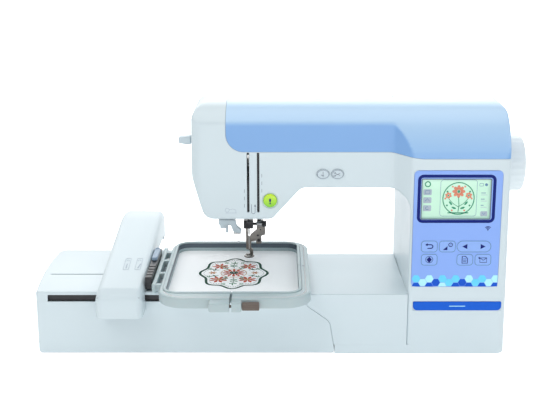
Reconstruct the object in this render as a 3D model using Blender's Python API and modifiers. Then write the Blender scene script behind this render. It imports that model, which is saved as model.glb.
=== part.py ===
"""A home embroidery machine with its embroidery unit, carriage and hoop, as separate working pieces.

Metres, +Z up. +X points to the handwheel and -Y to the person who sews. The origin lies on the table under the
middle of the whole object. Every sub-part is one closed solid in an object of its own, 0.3 mm or more clear of its
neighbours.
"""

import math

import bmesh
import bpy
from mathutils import Matrix, Vector

OBJECT_NAME = "embroidery_machine"
GAP = 0.0003  # least space between two pieces
WALL = 0.003  # moulded casings
ARC_STEPS = 4  # facets in a rounded corner
FAR = 0.5  # reach of a cutter past the object
DATUM = Vector((0.0045, 0.0, 0.0))  # sizes across are taken from a plane this far right of the object's middle
SHARP_ANGLE = math.radians(35)

# Levels above the table
SKIRT_LOW = 0.0010  # edge of the skirts that hide the feet
FOOT_TOP = 0.0045
TRAY_TOP = 0.0117
BED_TOP = 0.0725
UNIT_TOP = 0.0756
HEAD_BOTTOM = 0.1557
ARM_BOTTOM = 0.192
TOP = 0.283

# Plan
HEAD_LEFT = -0.105
COLUMN_LEFT = 0.138
COLUMN_RIGHT = 0.250
COLUMN_FRONT = -0.081
HEAD_FRONT = -0.065
HOUSING_REAR = 0.087
HOUSING_SPLIT = 0.003
ARM_LEFT = -0.110  # free end of the free arm
ARM_FRONT = -0.024
BED_REAR = 0.075

# Needle and drive
NEEDLE = Vector((-0.0436, 0.030, 0.0))
PRESSER = Vector((-0.031, 0.0385, 0.0))
SHAFT_Y = 0.014
SHAFT_Z = 0.203
SHAFT_RADIUS = 0.004
LOWER_SHAFT_Y = 0.0252
LOWER_SHAFT_Z = 0.038
HOOK = Vector((-0.0436, 0.006, 0.0))

# Embroidery unit, carriage and hoop
UNIT_LEFT = -0.287
UNIT_REAR = 0.081
UNIT_INNER = -0.1105  # wall beside the end of the free arm
UNIT_STRIP_REAR = -0.0245
SLOT_HIGH = 0.072
GROOVE_Y = -0.018
CARRIAGE_LEFT = -0.210
CARRIAGE_RIGHT = -0.158
CARRIAGE_FRONT = -0.111
CARRIAGE_REAR = 0.149
CARRIAGE_LOW = 0.0766
HOOP_LOW = 0.0762
HOOP_HIGH = 0.0885
OPENING = ((-0.132, -0.116), (0.015, 0.071))  # the hoop's inner opening, low and high corner

PIVOTS = {  # a point on the axis of each piece that turns; the turned pieces have their origin on it already
    "top_cover": Vector((0.090, -0.0143, TOP + 0.0002)),
    "carry_handle": Vector((0.040, 0.0145, 0.2675)),
    "needle_bar": NEEDLE,
    "connecting_rod": Vector((-0.062, SHAFT_Y, 0.168)),
    "presser_lever": Vector((-0.0215, 0.058, 0.168)),
    "take_up_lever": Vector((-0.0414, -0.028, 0.216)),
    "power_switch": Vector((0.2475, 0.038, 0.060)),
    "securing_lever": Vector((-0.15375, -0.016, 0.094)),
    "hoop_screw": Vector((-0.063, -0.1430, 0.0811)),
}

parts = None
cutters = None


# ---------------------------------------------------------------- scene and materials

def clear_scene():
    for obj in list(bpy.data.objects):
        bpy.data.objects.remove(obj, do_unlink=True)


def collection(name):
    made = bpy.data.collections.new(name)
    bpy.context.scene.collection.children.link(made)
    return made


def material(name, colour, roughness=0.45, metallic=0.0):
    made = bpy.data.materials.new(name)
    made.use_nodes = True
    shader = made.node_tree.nodes["Principled BSDF"]
    shader.inputs["Base Color"].default_value = (*colour, 1.0)
    shader.inputs["Roughness"].default_value = roughness
    shader.inputs["Metallic"].default_value = metallic
    return made


def make_materials():
    return {
        "casing": material("casing", (0.78, 0.84, 0.90), 0.35),
        "inner": material("inner", (0.62, 0.66, 0.72), 0.5),
        "blue_cover": material("blue_cover", (0.40, 0.62, 0.93), 0.3),
        "panel": material("panel", (0.27, 0.45, 0.90), 0.3),
        "screen": material("screen", (0.60, 0.85, 0.70), 0.2),
        "badge": material("badge", (0.02, 0.16, 0.70), 0.3),
        "go_button": material("go_button", (0.42, 0.85, 0.05), 0.3),
        "button": material("button", (0.70, 0.74, 0.80), 0.35),
        "steel": material("steel", (0.60, 0.60, 0.60), 0.25, 1.0),
        "foot_steel": material("foot_steel", (0.32, 0.28, 0.25), 0.35, 1.0),
        "black": material("black", (0.02, 0.02, 0.025), 0.4),
        "rubber": material("rubber", (0.03, 0.03, 0.03), 0.8),
        "hoop": material("hoop", (0.50, 0.60, 0.62), 0.4),
        "fabric": material("fabric", (0.82, 0.88, 0.95), 0.9),
        "lever": material("lever", (0.35, 0.45, 0.60), 0.4),
        "clear": material("clear", (0.80, 0.85, 0.88), 0.1),
    }


# ---------------------------------------------------------------- outlines

def sides_of(outline):
    """Each corner with the ones before and after it."""
    return zip(outline[-1:] + outline[:-1], outline, outline[1:] + outline[:1])


def corner_arc(before, corner, after, radius, steps):
    back = (before - corner).normalized()
    ahead = (after - corner).normalized()
    half = back.angle(ahead) / 2
    centre = corner + (back + ahead).normalized() * radius / math.sin(half)
    start = corner + back * radius / math.tan(half) - centre
    end = corner + ahead * radius / math.tan(half) - centre
    first = math.atan2(start.y, start.x)
    turn = (math.atan2(end.y, end.x) - first + math.pi) % math.tau - math.pi
    angles = [first + turn * step / steps for step in range(steps + 1)]
    return [centre + radius * Vector((math.cos(a), math.sin(a))) for a in angles]


def rounded(corners, steps=ARC_STEPS):
    """Points of an outline whose (across, up, radius) corners are rounded."""
    points = []
    for before, corner, after in sides_of(list(corners)):
        here = Vector(corner[:2])
        if corner[2] > 0:
            points += corner_arc(Vector(before[:2]), here, Vector(after[:2]), corner[2], steps)
        else:
            points.append(here)
    return points


def inset(corners, wall):
    """The outline moved inwards by a wall; its corners run anticlockwise."""
    moved = []
    for before, corner, after in sides_of(list(corners)):
        into = (Vector(corner[:2]) - Vector(before[:2])).normalized()
        out = (Vector(after[:2]) - Vector(corner[:2])).normalized()
        normal_in = Vector((-into.y, into.x))
        normal_out = Vector((-out.y, out.x))
        here = Vector(corner[:2]) + wall * (normal_in + normal_out) / (1 + normal_in.dot(normal_out))
        grown = corner[2] - wall if into.cross(out) > 0 else corner[2] + wall
        moved.append((here.x, here.y, max(grown, 0.0) if corner[2] else 0.0))
    return moved


def rectangle(low, high, radius=0.0):
    return [
        (low[0], low[1], radius),
        (high[0], low[1], radius),
        (high[0], high[1], radius),
        (low[0], high[1], radius),
    ]


# ---------------------------------------------------------------- solids

def middle_of(bm):
    lows = [min(vert.co[side] for vert in bm.verts) for side in range(3)]
    highs = [max(vert.co[side] for vert in bm.verts) for side in range(3)]
    return (Vector(lows) + Vector(highs)) / 2


def linked(name, mesh, paint, helper):
    """The mesh as a part with its paint, or as a hidden cutter."""
    obj = bpy.data.objects.new(name, mesh)
    if helper:
        obj.hide_render = True
        obj.display_type = "WIRE"
        cutters.objects.link(obj)
    else:
        mesh.materials.append(paint)
        parts.objects.link(obj)
    return obj


def new_object(name, bm, paint=None, helper=False):
    """An object with its origin at its middle, or on its joint's axis where it turns; a cutter's is the datum."""
    bmesh.ops.recalc_face_normals(bm, faces=bm.faces)
    origin = Vector() if helper else PIVOTS.get(name, middle_of(bm))
    bmesh.ops.translate(bm, verts=bm.verts, vec=-origin)
    mesh = bpy.data.meshes.new(name)
    bm.to_mesh(mesh)
    bm.free()
    mesh.shade_smooth()
    mesh.set_sharp_from_angle(angle=SHARP_ANGLE)
    obj = linked(name, mesh, paint, helper)
    obj.location = origin + DATUM
    return obj


def placed(across, up, along, axis):
    """A point of an outline that lies square to the axis, at a distance along it."""
    if axis == "X":
        return Vector((along, across, up))
    if axis == "Y":
        return Vector((across, along, up))
    return Vector((across, up, along))


def prism(name, outline, low, high, axis, paint=None, helper=False):
    """An outline drawn out along an axis."""
    bm = bmesh.new()
    base = bm.faces.new([bm.verts.new(placed(p[0], p[1], low, axis)) for p in outline])
    drawn = bmesh.ops.extrude_face_region(bm, geom=[base])
    moved = [item for item in drawn["geom"] if isinstance(item, bmesh.types.BMVert)]
    bmesh.ops.translate(bm, verts=moved, vec=placed(0, 0, high - low, axis))
    return new_object(name, bm, paint, helper)


def box(name, low, high, paint=None, helper=False, bevel=0.0):
    bm = bmesh.new()
    middle = (Vector(low) + Vector(high)) / 2
    size = Vector(high) - Vector(low)
    bmesh.ops.create_cube(bm, size=1.0, matrix=Matrix.Translation(middle) @ Matrix.Diagonal((*size, 1)))
    if bevel:
        bmesh.ops.bevel(bm, geom=bm.edges[:], offset=bevel, segments=2, profile=0.5, affect="EDGES")
    return new_object(name, bm, paint, helper)


SCREW_MERGE = 1e-5
TURN = {  # the Z axis turned onto each axis
    "Z": Matrix.Identity(4),
    "X": Matrix.Rotation(math.radians(90), 4, "Y"),
    "Y": Matrix.Rotation(math.radians(-90), 4, "X"),
}


def rod(name, centre, length, radius, axis, paint=None, helper=False, sides=20):
    """A cylinder about its centre."""
    bm = bmesh.new()
    place = Matrix.Translation(Vector(centre)) @ TURN[axis]
    bmesh.ops.create_cone(
        bm, cap_ends=True, segments=sides, radius1=radius, radius2=radius, depth=length, matrix=place,
    )
    return new_object(name, bm, paint, helper)


def turned(name, profile, centre, axis, paint=None, helper=False, sides=24):
    """A closed (radius, along) profile, outer side upwards, turned about an axis through the centre."""
    bm = bmesh.new()
    points = [bm.verts.new((radius, 0.0, along)) for radius, along in reversed(profile)]
    for one, two in zip(points, points[1:] + points[:1]):
        if one.co.x > 0 or two.co.x > 0:
            bm.edges.new((one, two))
    mesh = bpy.data.meshes.new(name)
    bm.to_mesh(mesh)
    bm.free()
    obj = linked(name, mesh, paint, helper)
    obj.location = Vector(centre) + DATUM
    obj.rotation_euler = TURN[axis].to_euler()
    screw = obj.modifiers.new("turn", "SCREW")
    screw.steps = sides
    screw.render_steps = sides
    screw.use_merge_vertices = True
    screw.merge_threshold = SCREW_MERGE
    return obj


def change(obj, other, operation):
    modifier = obj.modifiers.new(f"{operation.lower()} {other.name}", "BOOLEAN")
    modifier.operation = operation
    modifier.object = other
    modifier.solver = "EXACT"


def cut(obj, *tools):
    for tool in tools:
        change(obj, tool, "DIFFERENCE")


def join(obj, *additions):
    for addition in additions:
        change(obj, addition, "UNION")


def keep(obj, *limits):
    for limit in limits:
        change(obj, limit, "INTERSECT")


def cut_box(obj, name, low, high):
    cut(obj, box(name, low, high, helper=True))


def join_box(obj, name, low, high):
    join(obj, box(name, low, high, helper=True))


def cut_rod(obj, name, centre, length, radius, axis, sides=20):
    cut(obj, rod(name, centre, length, radius, axis, helper=True, sides=sides))


def join_rod(obj, name, centre, length, radius, axis, sides=20):
    join(obj, rod(name, centre, length, radius, axis, helper=True, sides=sides))


# ---------------------------------------------------------------- machine casing

FRONT_OUTLINE = [  # head, arm and column seen from the front, anticlockwise
    (-0.090, HEAD_BOTTOM, 0.014),
    (-0.0150, HEAD_BOTTOM, 0.007),
    (0.018, ARM_BOTTOM, 0.012),
    (COLUMN_LEFT, ARM_BOTTOM, 0.024),
    (COLUMN_LEFT, TRAY_TOP + GAP, 0.0),
    (COLUMN_RIGHT, TRAY_TOP + GAP, 0.0),
    (0.2455, TOP, 0.010),
    (-0.1035, TOP, 0.016),
    (HEAD_LEFT, 0.205, 0.030),
]
SIDE_OUTLINE = [  # seen from the handwheel, front to the left
    (COLUMN_FRONT, TRAY_TOP + GAP, 0.0),
    (HOUSING_REAR, TRAY_TOP + GAP, 0.0),
    (HOUSING_REAR, TOP, 0.080),
    (COLUMN_FRONT, TOP, 0.058),
]
PLAN_OUTLINE = [
    (HEAD_LEFT, HEAD_FRONT, 0.012),
    (0.120, HEAD_FRONT, 0.008),
    (0.139, COLUMN_FRONT, 0.010),
    (COLUMN_RIGHT, COLUMN_FRONT, 0.010),
    (COLUMN_RIGHT, HOUSING_REAR, 0.020),
    (HEAD_LEFT, HOUSING_REAR, 0.025),
]
COVER_OUTLINE = [  # the blue cover's edge seen from the front
    (-0.066, 0.2325, 0.020),
    (0.126, 0.2325, 0.0),
    (0.140, 0.2280, 0.0),
    (0.300, 0.2280, 0.0),
    (0.300, 0.3200, 0.0),
    (-0.066, 0.3200, 0.0),
]
COVER_REAR = -0.014
COVER_WALL = 0.0024
HANDLE_BAY = ((-0.045, 0.008, 0.258), (0.125, 0.050, 0.300))
SPOOL_BAY = ((0.020, -0.052, 0.240), (0.110, -0.018, 0.300))
WINDER_BAY = ((0.185, -0.045, 0.255), (0.225, -0.018, 0.300))
PANEL_LOW = (0.141, 0.082)  # control panel, across and up
PANEL_HIGH = (0.238, 0.2155)
SCREEN_LOW = (0.150, 0.1613)
SCREEN_HIGH = (0.225, 0.2055)
BADGE_LOW = (0.144, 0.0538)
BADGE_HIGH = (0.2435, 0.0641)
START_BUTTON = (-0.017, 0.1776)
SMALL_BUTTONS = {"needle_position_button": (0.0416, 0.208), "thread_cutter_button": (0.0577, 0.208)}
THREAD_SLOTS = (-0.0414, -0.0302)
THREADER = (-0.021, 0.238)  # the lever's place along and up
THREADER_TRAVEL = 0.028


def machine_form(name, wall=0.0):
    """The whole form of head, arm and column, moved inwards by a wall."""
    form = prism(name, rounded(inset(FRONT_OUTLINE, wall)), -FAR, FAR, "Y", helper=True)
    side = prism(name + "_side", rounded(inset(SIDE_OUTLINE, wall), 6), -FAR, FAR, "X", helper=True)
    plan = prism(name + "_plan", rounded(inset(PLAN_OUTLINE, wall)), -FAR, FAR, "Z", helper=True)
    keep(form, side, plan)
    return form


def cover_zone(name, grow=0.0):
    outline = rounded(inset(COVER_OUTLINE, -grow))
    return prism(name, outline, -FAR, COVER_REAR + grow, "Y", helper=True)


def grown(bay, wall):
    low, high = bay
    return [value - wall for value in low], [value + wall for value in high]


def casing_cavity():
    """The room inside the casing: its floor is open, and the wells in its top stay walled."""
    cavity = machine_form("cavity", WALL)
    cut(cavity, cover_zone("cavity_limit", WALL))
    join(cavity, machine_form("cavity_below_cover", COVER_WALL + GAP + WALL))
    for name, bay in (("handle", HANDLE_BAY), ("spool", SPOOL_BAY), ("winder", WINDER_BAY)):
        cut_box(cavity, f"wall_of_{name}_bay", *grown(bay, 0.0025))
    join_box(cavity, "open_floor", (0.141, -0.078, 0.0), (0.246, 0.084, 0.020))
    return cavity


def oval(place, radii, steps=24):
    """Outline of an oval about an (across, up) place."""
    angles = [math.tau * step / steps for step in range(steps)]
    return [(place[0] + radii[0] * math.cos(a), place[1] + radii[1] * math.sin(a)) for a in angles]


def round_tool(name, place, radii, low, high):
    """An oval cutter through the front."""
    return prism(name, oval(place, radii), low, high, "Y", helper=True)


def front_face_cuts(casing):
    """Panel recess, screen window, badge recess, button holes, thread slots and the finger recess."""
    panel = rounded(rectangle([v - GAP for v in PANEL_LOW], [v + GAP for v in PANEL_HIGH], 0.006))
    cut(casing, prism("panel_recess", panel, -FAR, -0.0797, "Y", helper=True))
    window = (SCREEN_LOW[0] - 0.0035, -FAR, SCREEN_LOW[1] - 0.0035), (SCREEN_HIGH[0] + 0.0035, -0.070, 0.209)
    cut_box(casing, "screen_window", *window)
    badge = rectangle([v - GAP for v in BADGE_LOW], [v + GAP for v in BADGE_HIGH], 0.0015)
    cut(casing, prism("badge_recess", rounded(badge, 3), -FAR, -0.0800, "Y", helper=True))
    cut(casing, round_tool("start_hole", START_BUTTON, (0.0078, 0.0078), -0.080, -0.055))
    for name, place in SMALL_BUTTONS.items():
        cut(casing, round_tool(f"{name}_hole", place, (0.0073, 0.0058), -0.080, -0.055))
    for across in THREAD_SLOTS:
        name = f"thread_slot_{abs(across) * 1e4:.0f}"
        cut_box(casing, name, (across - 0.0014, -0.080, 0.1637), (across + 0.0014, -0.055, 0.236))
    cut_box(casing, "finger_recess", (0.150, -0.100, 0.2205), (0.226, -0.0792, 0.2290))


def side_and_floor_cuts(casing):
    """Threader slot, the open underside of the head, lamp window, shaft hole, switch and inlet holes."""
    along, up = THREADER
    cut_box(casing, "threader_slot", (-0.12, along - 0.0035, up - THREADER_TRAVEL - 0.0055),
            (-0.098, along + 0.0035, up + 0.0055))
    cut_box(casing, "head_opening", (-0.088, -0.004, 0.150), (-0.018, 0.078, 0.170))
    cut_box(casing, "lamp_window", (-0.0603, -0.0403, 0.150), (-0.0297, -0.0197, 0.170))
    cut_rod(casing, "shaft_hole", (0.250, SHAFT_Y, SHAFT_Z), 0.040, SHAFT_RADIUS + 0.0015, "X")
    cut_box(casing, "switch_hole", (0.240, 0.028, 0.0520), (0.270, 0.048, 0.0680))
    cut_box(casing, "inlet_hole", (0.240, 0.026, 0.0240), (0.270, 0.050, 0.0420))
    cut_box(casing, "lower_shaft_way", (0.130, 0.010, 0.0220), (0.145, 0.042, 0.0560))


def casing_half(name, low, high, cavity, cover_recess, paint):
    shape = machine_form("form_of_" + name)
    half = prism(name, rectangle((-FAR, low), (FAR, high)), -FAR, FAR, "Z", paint=paint)
    keep(half, shape)
    cut(half, cavity, cover_recess)
    for bay_name, bay in (("handle", HANDLE_BAY), ("spool", SPOOL_BAY), ("winder", WINDER_BAY)):
        cut_box(half, f"{bay_name}_bay_in_{name}", *bay)
    side_and_floor_cuts(half)
    return half


def casing(paint):
    cavity = casing_cavity()
    recess = cover_zone("cover_recess")
    cut(recess, machine_form("under_cover", COVER_WALL + GAP))
    front = casing_half("front_housing", -FAR, HOUSING_SPLIT, cavity, recess, paint["casing"])
    front_face_cuts(front)
    casing_half("rear_housing", HOUSING_SPLIT + GAP, FAR, cavity, recess, paint["casing"])
    cover = prism("top_cover", rounded(inset(COVER_OUTLINE, GAP)), -FAR, COVER_REAR - GAP, "Y",
                  paint=paint["blue_cover"])
    keep(cover, machine_form("cover_form"))
    cut(cover, machine_form("cover_inside", COVER_WALL))


def front_plate(name, low, high, radius, front, rear, paint):
    prism(name, rounded(rectangle(low, high, radius)), front, rear, "Y", paint=paint)


def panel_and_buttons(paint):
    front_plate("control_panel", PANEL_LOW, PANEL_HIGH, 0.0057, -0.0816, -0.0800, paint["panel"])
    front_plate("badge_plate", BADGE_LOW, BADGE_HIGH, 0.0012, -0.0818, -0.0803, paint["badge"])
    box("lcd_module", (SCREEN_LOW[0] - 0.003, -0.0796, SCREEN_LOW[1] - 0.003),
        (SCREEN_HIGH[0] + 0.003, -0.0710, 0.2086), paint["screen"])
    places = {"start_stop_button": START_BUTTON, **SMALL_BUTTONS}
    for name, place in places.items():
        radii = (0.0075, 0.0075) if name == "start_stop_button" else (0.0070, 0.0055)
        colour = paint["go_button"] if name == "start_stop_button" else paint["button"]
        button = prism(name, oval(place, radii), HEAD_FRONT - 0.0020, -0.0590, "Y", paint=colour)
        flange = (radii[0] + 0.0006, radii[1] + 0.0015)
        join(button, round_tool(name + "_flange", place, flange, -0.0610, -0.0590))


# ---------------------------------------------------------------- bed, base and embroidery unit

BED_BLOCK = [  # front of the bed beside the unit, seen from the front, anticlockwise
    (0.056, TRAY_TOP + GAP, 0.0),
    (COLUMN_LEFT - 0.0005, TRAY_TOP + GAP, 0.0),
    (COLUMN_LEFT - 0.0005, BED_TOP, 0.0),
    (0.0225, BED_TOP, 0.0),
    (0.0225, 0.060, 0.010),
    (0.050, 0.040, 0.012),
]
ARM_LOW = 0.016
UNIT_PLAN = [
    (-0.2812, COLUMN_FRONT, 0.004),
    (0.0555, COLUMN_FRONT, 0.0),
    (0.0555, UNIT_STRIP_REAR, 0.0),
    (UNIT_INNER, UNIT_STRIP_REAR, 0.0),
    (UNIT_INNER, UNIT_REAR, 0.0),
    (-0.2845, UNIT_REAR, 0.010),
    (UNIT_LEFT, 0.040, 0.080),
    (UNIT_LEFT, -0.005, 0.080),
    (-0.2845, -0.045, 0.080),
]
UNIT_SPLIT = 0.0637
SLOT_LEFT = -0.268
SLOT_RIGHT = -0.0785
GROOVE_LEFT = -0.2770
GROOVE_RIGHT = -0.1150
PLATE_LOW = BED_TOP + GAP
PLATE_TOP = 0.0745
BOBBIN_WINDOW = ((-0.0640, -0.0190), (-0.0240, 0.0200))


def bed(paint):
    """Bed with its free arm: one downward-open shell under the needle plate."""
    cover = prism("bed_cover", rounded(BED_BLOCK), COLUMN_FRONT, ARM_FRONT + 0.006, "Y", paint=paint["casing"])
    join_box(cover, "free_arm", (ARM_LEFT, ARM_FRONT, ARM_LOW), (COLUMN_LEFT - 0.0005, BED_REAR, BED_TOP))
    hollow = prism("block_hollow", rounded(inset(BED_BLOCK, 0.0028)), COLUMN_FRONT + 0.0028, ARM_FRONT + 0.02,
                   "Y", helper=True)
    cut_box(cover, "block_floor", (0.060, COLUMN_FRONT + 0.0028, 0.0), (0.1347, ARM_FRONT + 0.02, 0.030))
    cut_box(cover, "arm_hollow", (ARM_LEFT + 0.0028, ARM_FRONT + 0.0028, 0.0), (0.1347, BED_REAR - 0.0028, 0.0695))
    cut(cover, hollow)
    cut_box(cover, "plate_opening", (-0.080, -0.0205, 0.060), (-0.008, 0.052, 0.080))
    cut_box(cover, "shaft_way", (0.130, 0.000, 0.020), (0.145, 0.050, 0.060))


TRAY_OUTLINE = [
    (0.0562, COLUMN_FRONT, 0.0), (COLUMN_RIGHT, COLUMN_FRONT, 0.010), (COLUMN_RIGHT, HOUSING_REAR, 0.020),
    (0.0562, HOUSING_REAR, 0.006),
]


def base(paint):
    """Tray that carries the column, with a tongue under the free arm."""
    outline = rounded(TRAY_OUTLINE, 3)
    tray = prism("base_tray", outline, SKIRT_LOW, TRAY_TOP, "Z", paint=paint["casing"])
    cut(tray, prism("under_tray", rounded(inset(TRAY_OUTLINE, 0.003), 3), -FAR, FOOT_TOP, "Z", helper=True))
    join_box(tray, "tray_tongue", (-0.106, ARM_FRONT + 0.0005, FOOT_TOP), (0.070, BED_REAR - 0.003, TRAY_TOP))
    places = {
        "foot_front_right": (0.225, -0.060),
        "foot_rear_right": (0.225, 0.065),
        "foot_rear_left": (-0.085, 0.060),
        "unit_foot_front": (-0.250, -0.060),
        "unit_foot_rear": (-0.250, 0.060),
    }
    for name, (across, along) in places.items():
        rod(name, (across, along, (FOOT_TOP - GAP) / 2), FOOT_TOP - GAP, 0.008, "Z", paint["rubber"])


def unit_cuts(piece, grow):
    """Room for the bed's front beside the unit."""
    cut(piece, prism(f"bed_in_unit_{grow * 1e4:.0f}", rounded(inset(BED_BLOCK, -grow)), -FAR, FAR, "Y", helper=True))


def embroidery_unit(paint):
    lower = prism("unit_lower_case", rounded(UNIT_PLAN, 6), SKIRT_LOW, UNIT_SPLIT, "Z", paint=paint["casing"])
    unit_cuts(lower, 0.0006)
    below = prism("under_unit", rounded(inset(UNIT_PLAN, 0.003), 6), -FAR, FOOT_TOP, "Z", helper=True)
    unit_cuts(below, 0.0036)
    cut(lower, below)
    room = prism("unit_room", rounded(inset(UNIT_PLAN, 0.0025), 6), FOOT_TOP + 0.003, FAR, "Z", helper=True)
    unit_cuts(room, 0.0031)
    cut(lower, room)
    upper = prism("unit_upper_cover", rounded(UNIT_PLAN, 6), UNIT_SPLIT + GAP, UNIT_TOP, "Z", paint=paint["casing"])
    unit_cuts(upper, 0.0006)
    under = prism("unit_room_above", rounded(inset(UNIT_PLAN, 0.0025), 6), 0.0, UNIT_TOP - 0.0025, "Z", helper=True)
    unit_cuts(under, 0.0031)
    cut(upper, under)
    cut_box(upper, "front_slot", (SLOT_LEFT, -0.100, 0.050), (SLOT_RIGHT, -0.070, SLOT_HIGH))
    cut_box(upper, "top_groove", (GROOVE_LEFT, GROOVE_Y - 0.0015, 0.060), (GROOVE_RIGHT, GROOVE_Y + 0.0015, 0.090))
    rod("x_rail", (-0.1983, GROOVE_Y, 0.030), 0.1690, 0.004, "X", paint["steel"])


CARRIAGE_PROFILE = [  # seen from the handwheel, front to the left
    (CARRIAGE_FRONT, 0.0545, 0.003),
    (-0.0825, 0.0545, 0.0),
    (-0.0825, CARRIAGE_LOW, 0.0),
    (CARRIAGE_REAR, CARRIAGE_LOW, 0.0),
    (CARRIAGE_REAR, 0.1120, 0.020),
    (0.105, 0.1140, 0.120),
    (-0.095, 0.0850, 0.020),
    (CARRIAGE_FRONT, 0.0800, 0.008),
]
HOLDER_X = (CARRIAGE_RIGHT + 0.0005, -0.1500)
HOLDER_ARM_Y = (-0.045, -0.015)
HOLDER_TRAVEL = (-0.028, 0.135)
LEVER_PIVOT = Vector((-0.15375, -0.016, 0.0))
LEVER_WIDTH = 0.0066


def carriage(paint):
    cover = prism("carriage_cover", rounded(CARRIAGE_PROFILE), CARRIAGE_LEFT, CARRIAGE_RIGHT, "X",
                  paint=paint["casing"])
    inner = inset(CARRIAGE_PROFILE, 0.0024)
    room = prism("carriage_room", rounded(inner), CARRIAGE_LEFT + 0.0024, CARRIAGE_RIGHT - 0.0024, "X", helper=True)
    cut(cover, room)
    inside = (CARRIAGE_LEFT + 0.0024, CARRIAGE_RIGHT - 0.0024)
    cut_box(cover, "carriage_floor", (inside[0], -0.1086, 0.0700), (inside[1], CARRIAGE_REAR - 0.0024, 0.0800))
    cut_box(cover, "lip_floor", (inside[0], -0.1086, 0.0400), (inside[1], -0.0600, 0.0750))
    cut_box(cover, "holder_way", (CARRIAGE_RIGHT - 0.006, HOLDER_ARM_Y[0] + HOLDER_TRAVEL[0] - 0.004, 0.0500),
            (CARRIAGE_RIGHT + 0.010, HOLDER_ARM_Y[1] + HOLDER_TRAVEL[1] + 0.004, 0.0818))
    across = (inside[0] + GAP, inside[1] - GAP)
    floor = box("carriage_base", (across[0], -0.1083, 0.0768), (across[1], CARRIAGE_REAR - 0.0027, 0.0787),
                paint=paint["inner"])
    join_box(floor, "lip_plate", (across[0], -0.1083, 0.0560), (across[1], -0.1050, 0.0787))
    join_box(floor, "tongue", (across[0], -0.1083, 0.0660), (across[1], -0.0600, 0.0700))
    fin = (across[0], -0.1915)
    join_box(floor, "fin", (fin[0], GROOVE_Y - 0.0011, 0.0400), (fin[1], GROOVE_Y + 0.0011, 0.0775))
    join_box(floor, "rail_block", (fin[0], GROOVE_Y - 0.012, 0.0200), (fin[1], GROOVE_Y + 0.012, 0.0445))
    cut_rod(floor, "rail_bore", (-0.20, GROOVE_Y, 0.030), 0.080, 0.0046, "X")


def frame_holder(paint):
    holder = box("frame_holder", (HOLDER_X[0], -0.080, 0.0785), (HOLDER_X[1], 0.030, 0.0925), paint=paint["black"])
    join_box(holder, "holder_arm", (-0.195, HOLDER_ARM_Y[0], 0.0790), (-0.155, HOLDER_ARM_Y[1], 0.0815))
    cut_rod(holder, "lever_bore", (*LEVER_PIVOT.xy, 0.0925), 0.010, 0.0019, "Z", sides=16)
    half = LEVER_WIDTH / 2
    sides = rectangle((LEVER_PIVOT.x - half, LEVER_PIVOT.y - half), (LEVER_PIVOT.x + half, 0.022), half * 0.98)
    lever = prism("securing_lever", rounded(sides), 0.0928, 0.0965, "Z", paint=paint["lever"])
    join_rod(lever, "lever_pin", (*LEVER_PIVOT.xy, 0.0912), 0.006, 0.0016, "Z", sides=16)


RING_LEFT = -0.139
RING_RIGHT = 0.028
RING_FRONT = -0.137
RING_REAR = 0.080
INNER_RING_WALL = 0.0032
OPENING_RADIUS = 0.014
SCREW = (-0.1430, 0.0811)  # along and up
SPLIT_ACROSS = (-0.0604, -0.0578)
BOSS_ACROSS = (-0.0823, -0.0470)
FIELD_CORNER = (0.047, 0.024)  # from the needle at rest to the rear right corner of the stitching field


def hoop(paint):
    opening = rectangle(*OPENING, OPENING_RADIUS)
    inner_outside = inset(opening, -INNER_RING_WALL)
    ring = prism("hoop_inner", rounded(inner_outside, 5), HOOP_LOW, HOOP_HIGH, "Z", paint=paint["hoop"])
    cut(ring, prism("hoop_opening", rounded(opening, 5), 0, FAR, "Z", helper=True))
    outline = rectangle((RING_LEFT, RING_FRONT), (RING_RIGHT, RING_REAR), 0.030)
    outer = prism("hoop_outer", rounded(outline, 6), HOOP_LOW, HOOP_HIGH - 0.0010, "Z", paint=paint["hoop"])
    for number, along in enumerate((-0.084, -0.043, 0.004, 0.037)):
        join_box(outer, f"rung_{number}", (-0.1470, along - 0.003, 0.0785), (-0.1360, along + 0.003, 0.0860))
    join_box(outer, "bracket_bar", (-0.1493, -0.088, 0.0775), (-0.1445, 0.052, 0.0868))
    join_box(outer, "clamp_boss", (BOSS_ACROSS[0], -0.1490, HOOP_LOW), (BOSS_ACROSS[1], -0.130, 0.0862))
    seat = prism("inner_seat", rounded(inset(inner_outside, -GAP), 5), 0, FAR, "Z", helper=True)
    cut(outer, seat)
    cut_box(outer, "clamp_split", (SPLIT_ACROSS[0], -0.160, 0.0), (SPLIT_ACROSS[1], -0.110, FAR))
    cut_rod(outer, "screw_bore", (-0.064, *SCREW), 0.060, 0.0020, "X", sides=16)
    screw = rod("hoop_screw", (-0.0630, *SCREW), 0.0360, 0.0016, "X", paint["black"], sides=16)
    knob = [(0.0, 0.0), (0.0040, 0.0), (0.0046, 0.0008), (0.0046, 0.0178), (0.0040, 0.0186), (0.0, 0.0186)]
    join(screw, turned("knob_head", knob, (-0.0466, *SCREW), "X", helper=True, sides=20))
    cloth = prism("fabric", rounded(inset(opening, GAP), 5), HOOP_LOW + 0.0005, HOOP_LOW + 0.0012, "Z",
                  paint=paint["fabric"])
    for name, (across, along) in {"needle_hole": (0.0, 0.0), "corner_hole": FIELD_CORNER}.items():
        place = (NEEDLE.x + across, NEEDLE.y + along, HOOP_LOW)
        cut_rod(cloth, name, place, 0.020, 0.0015, "Z", sides=12)


# ---------------------------------------------------------------- needle plate, hook and bobbin

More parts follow.
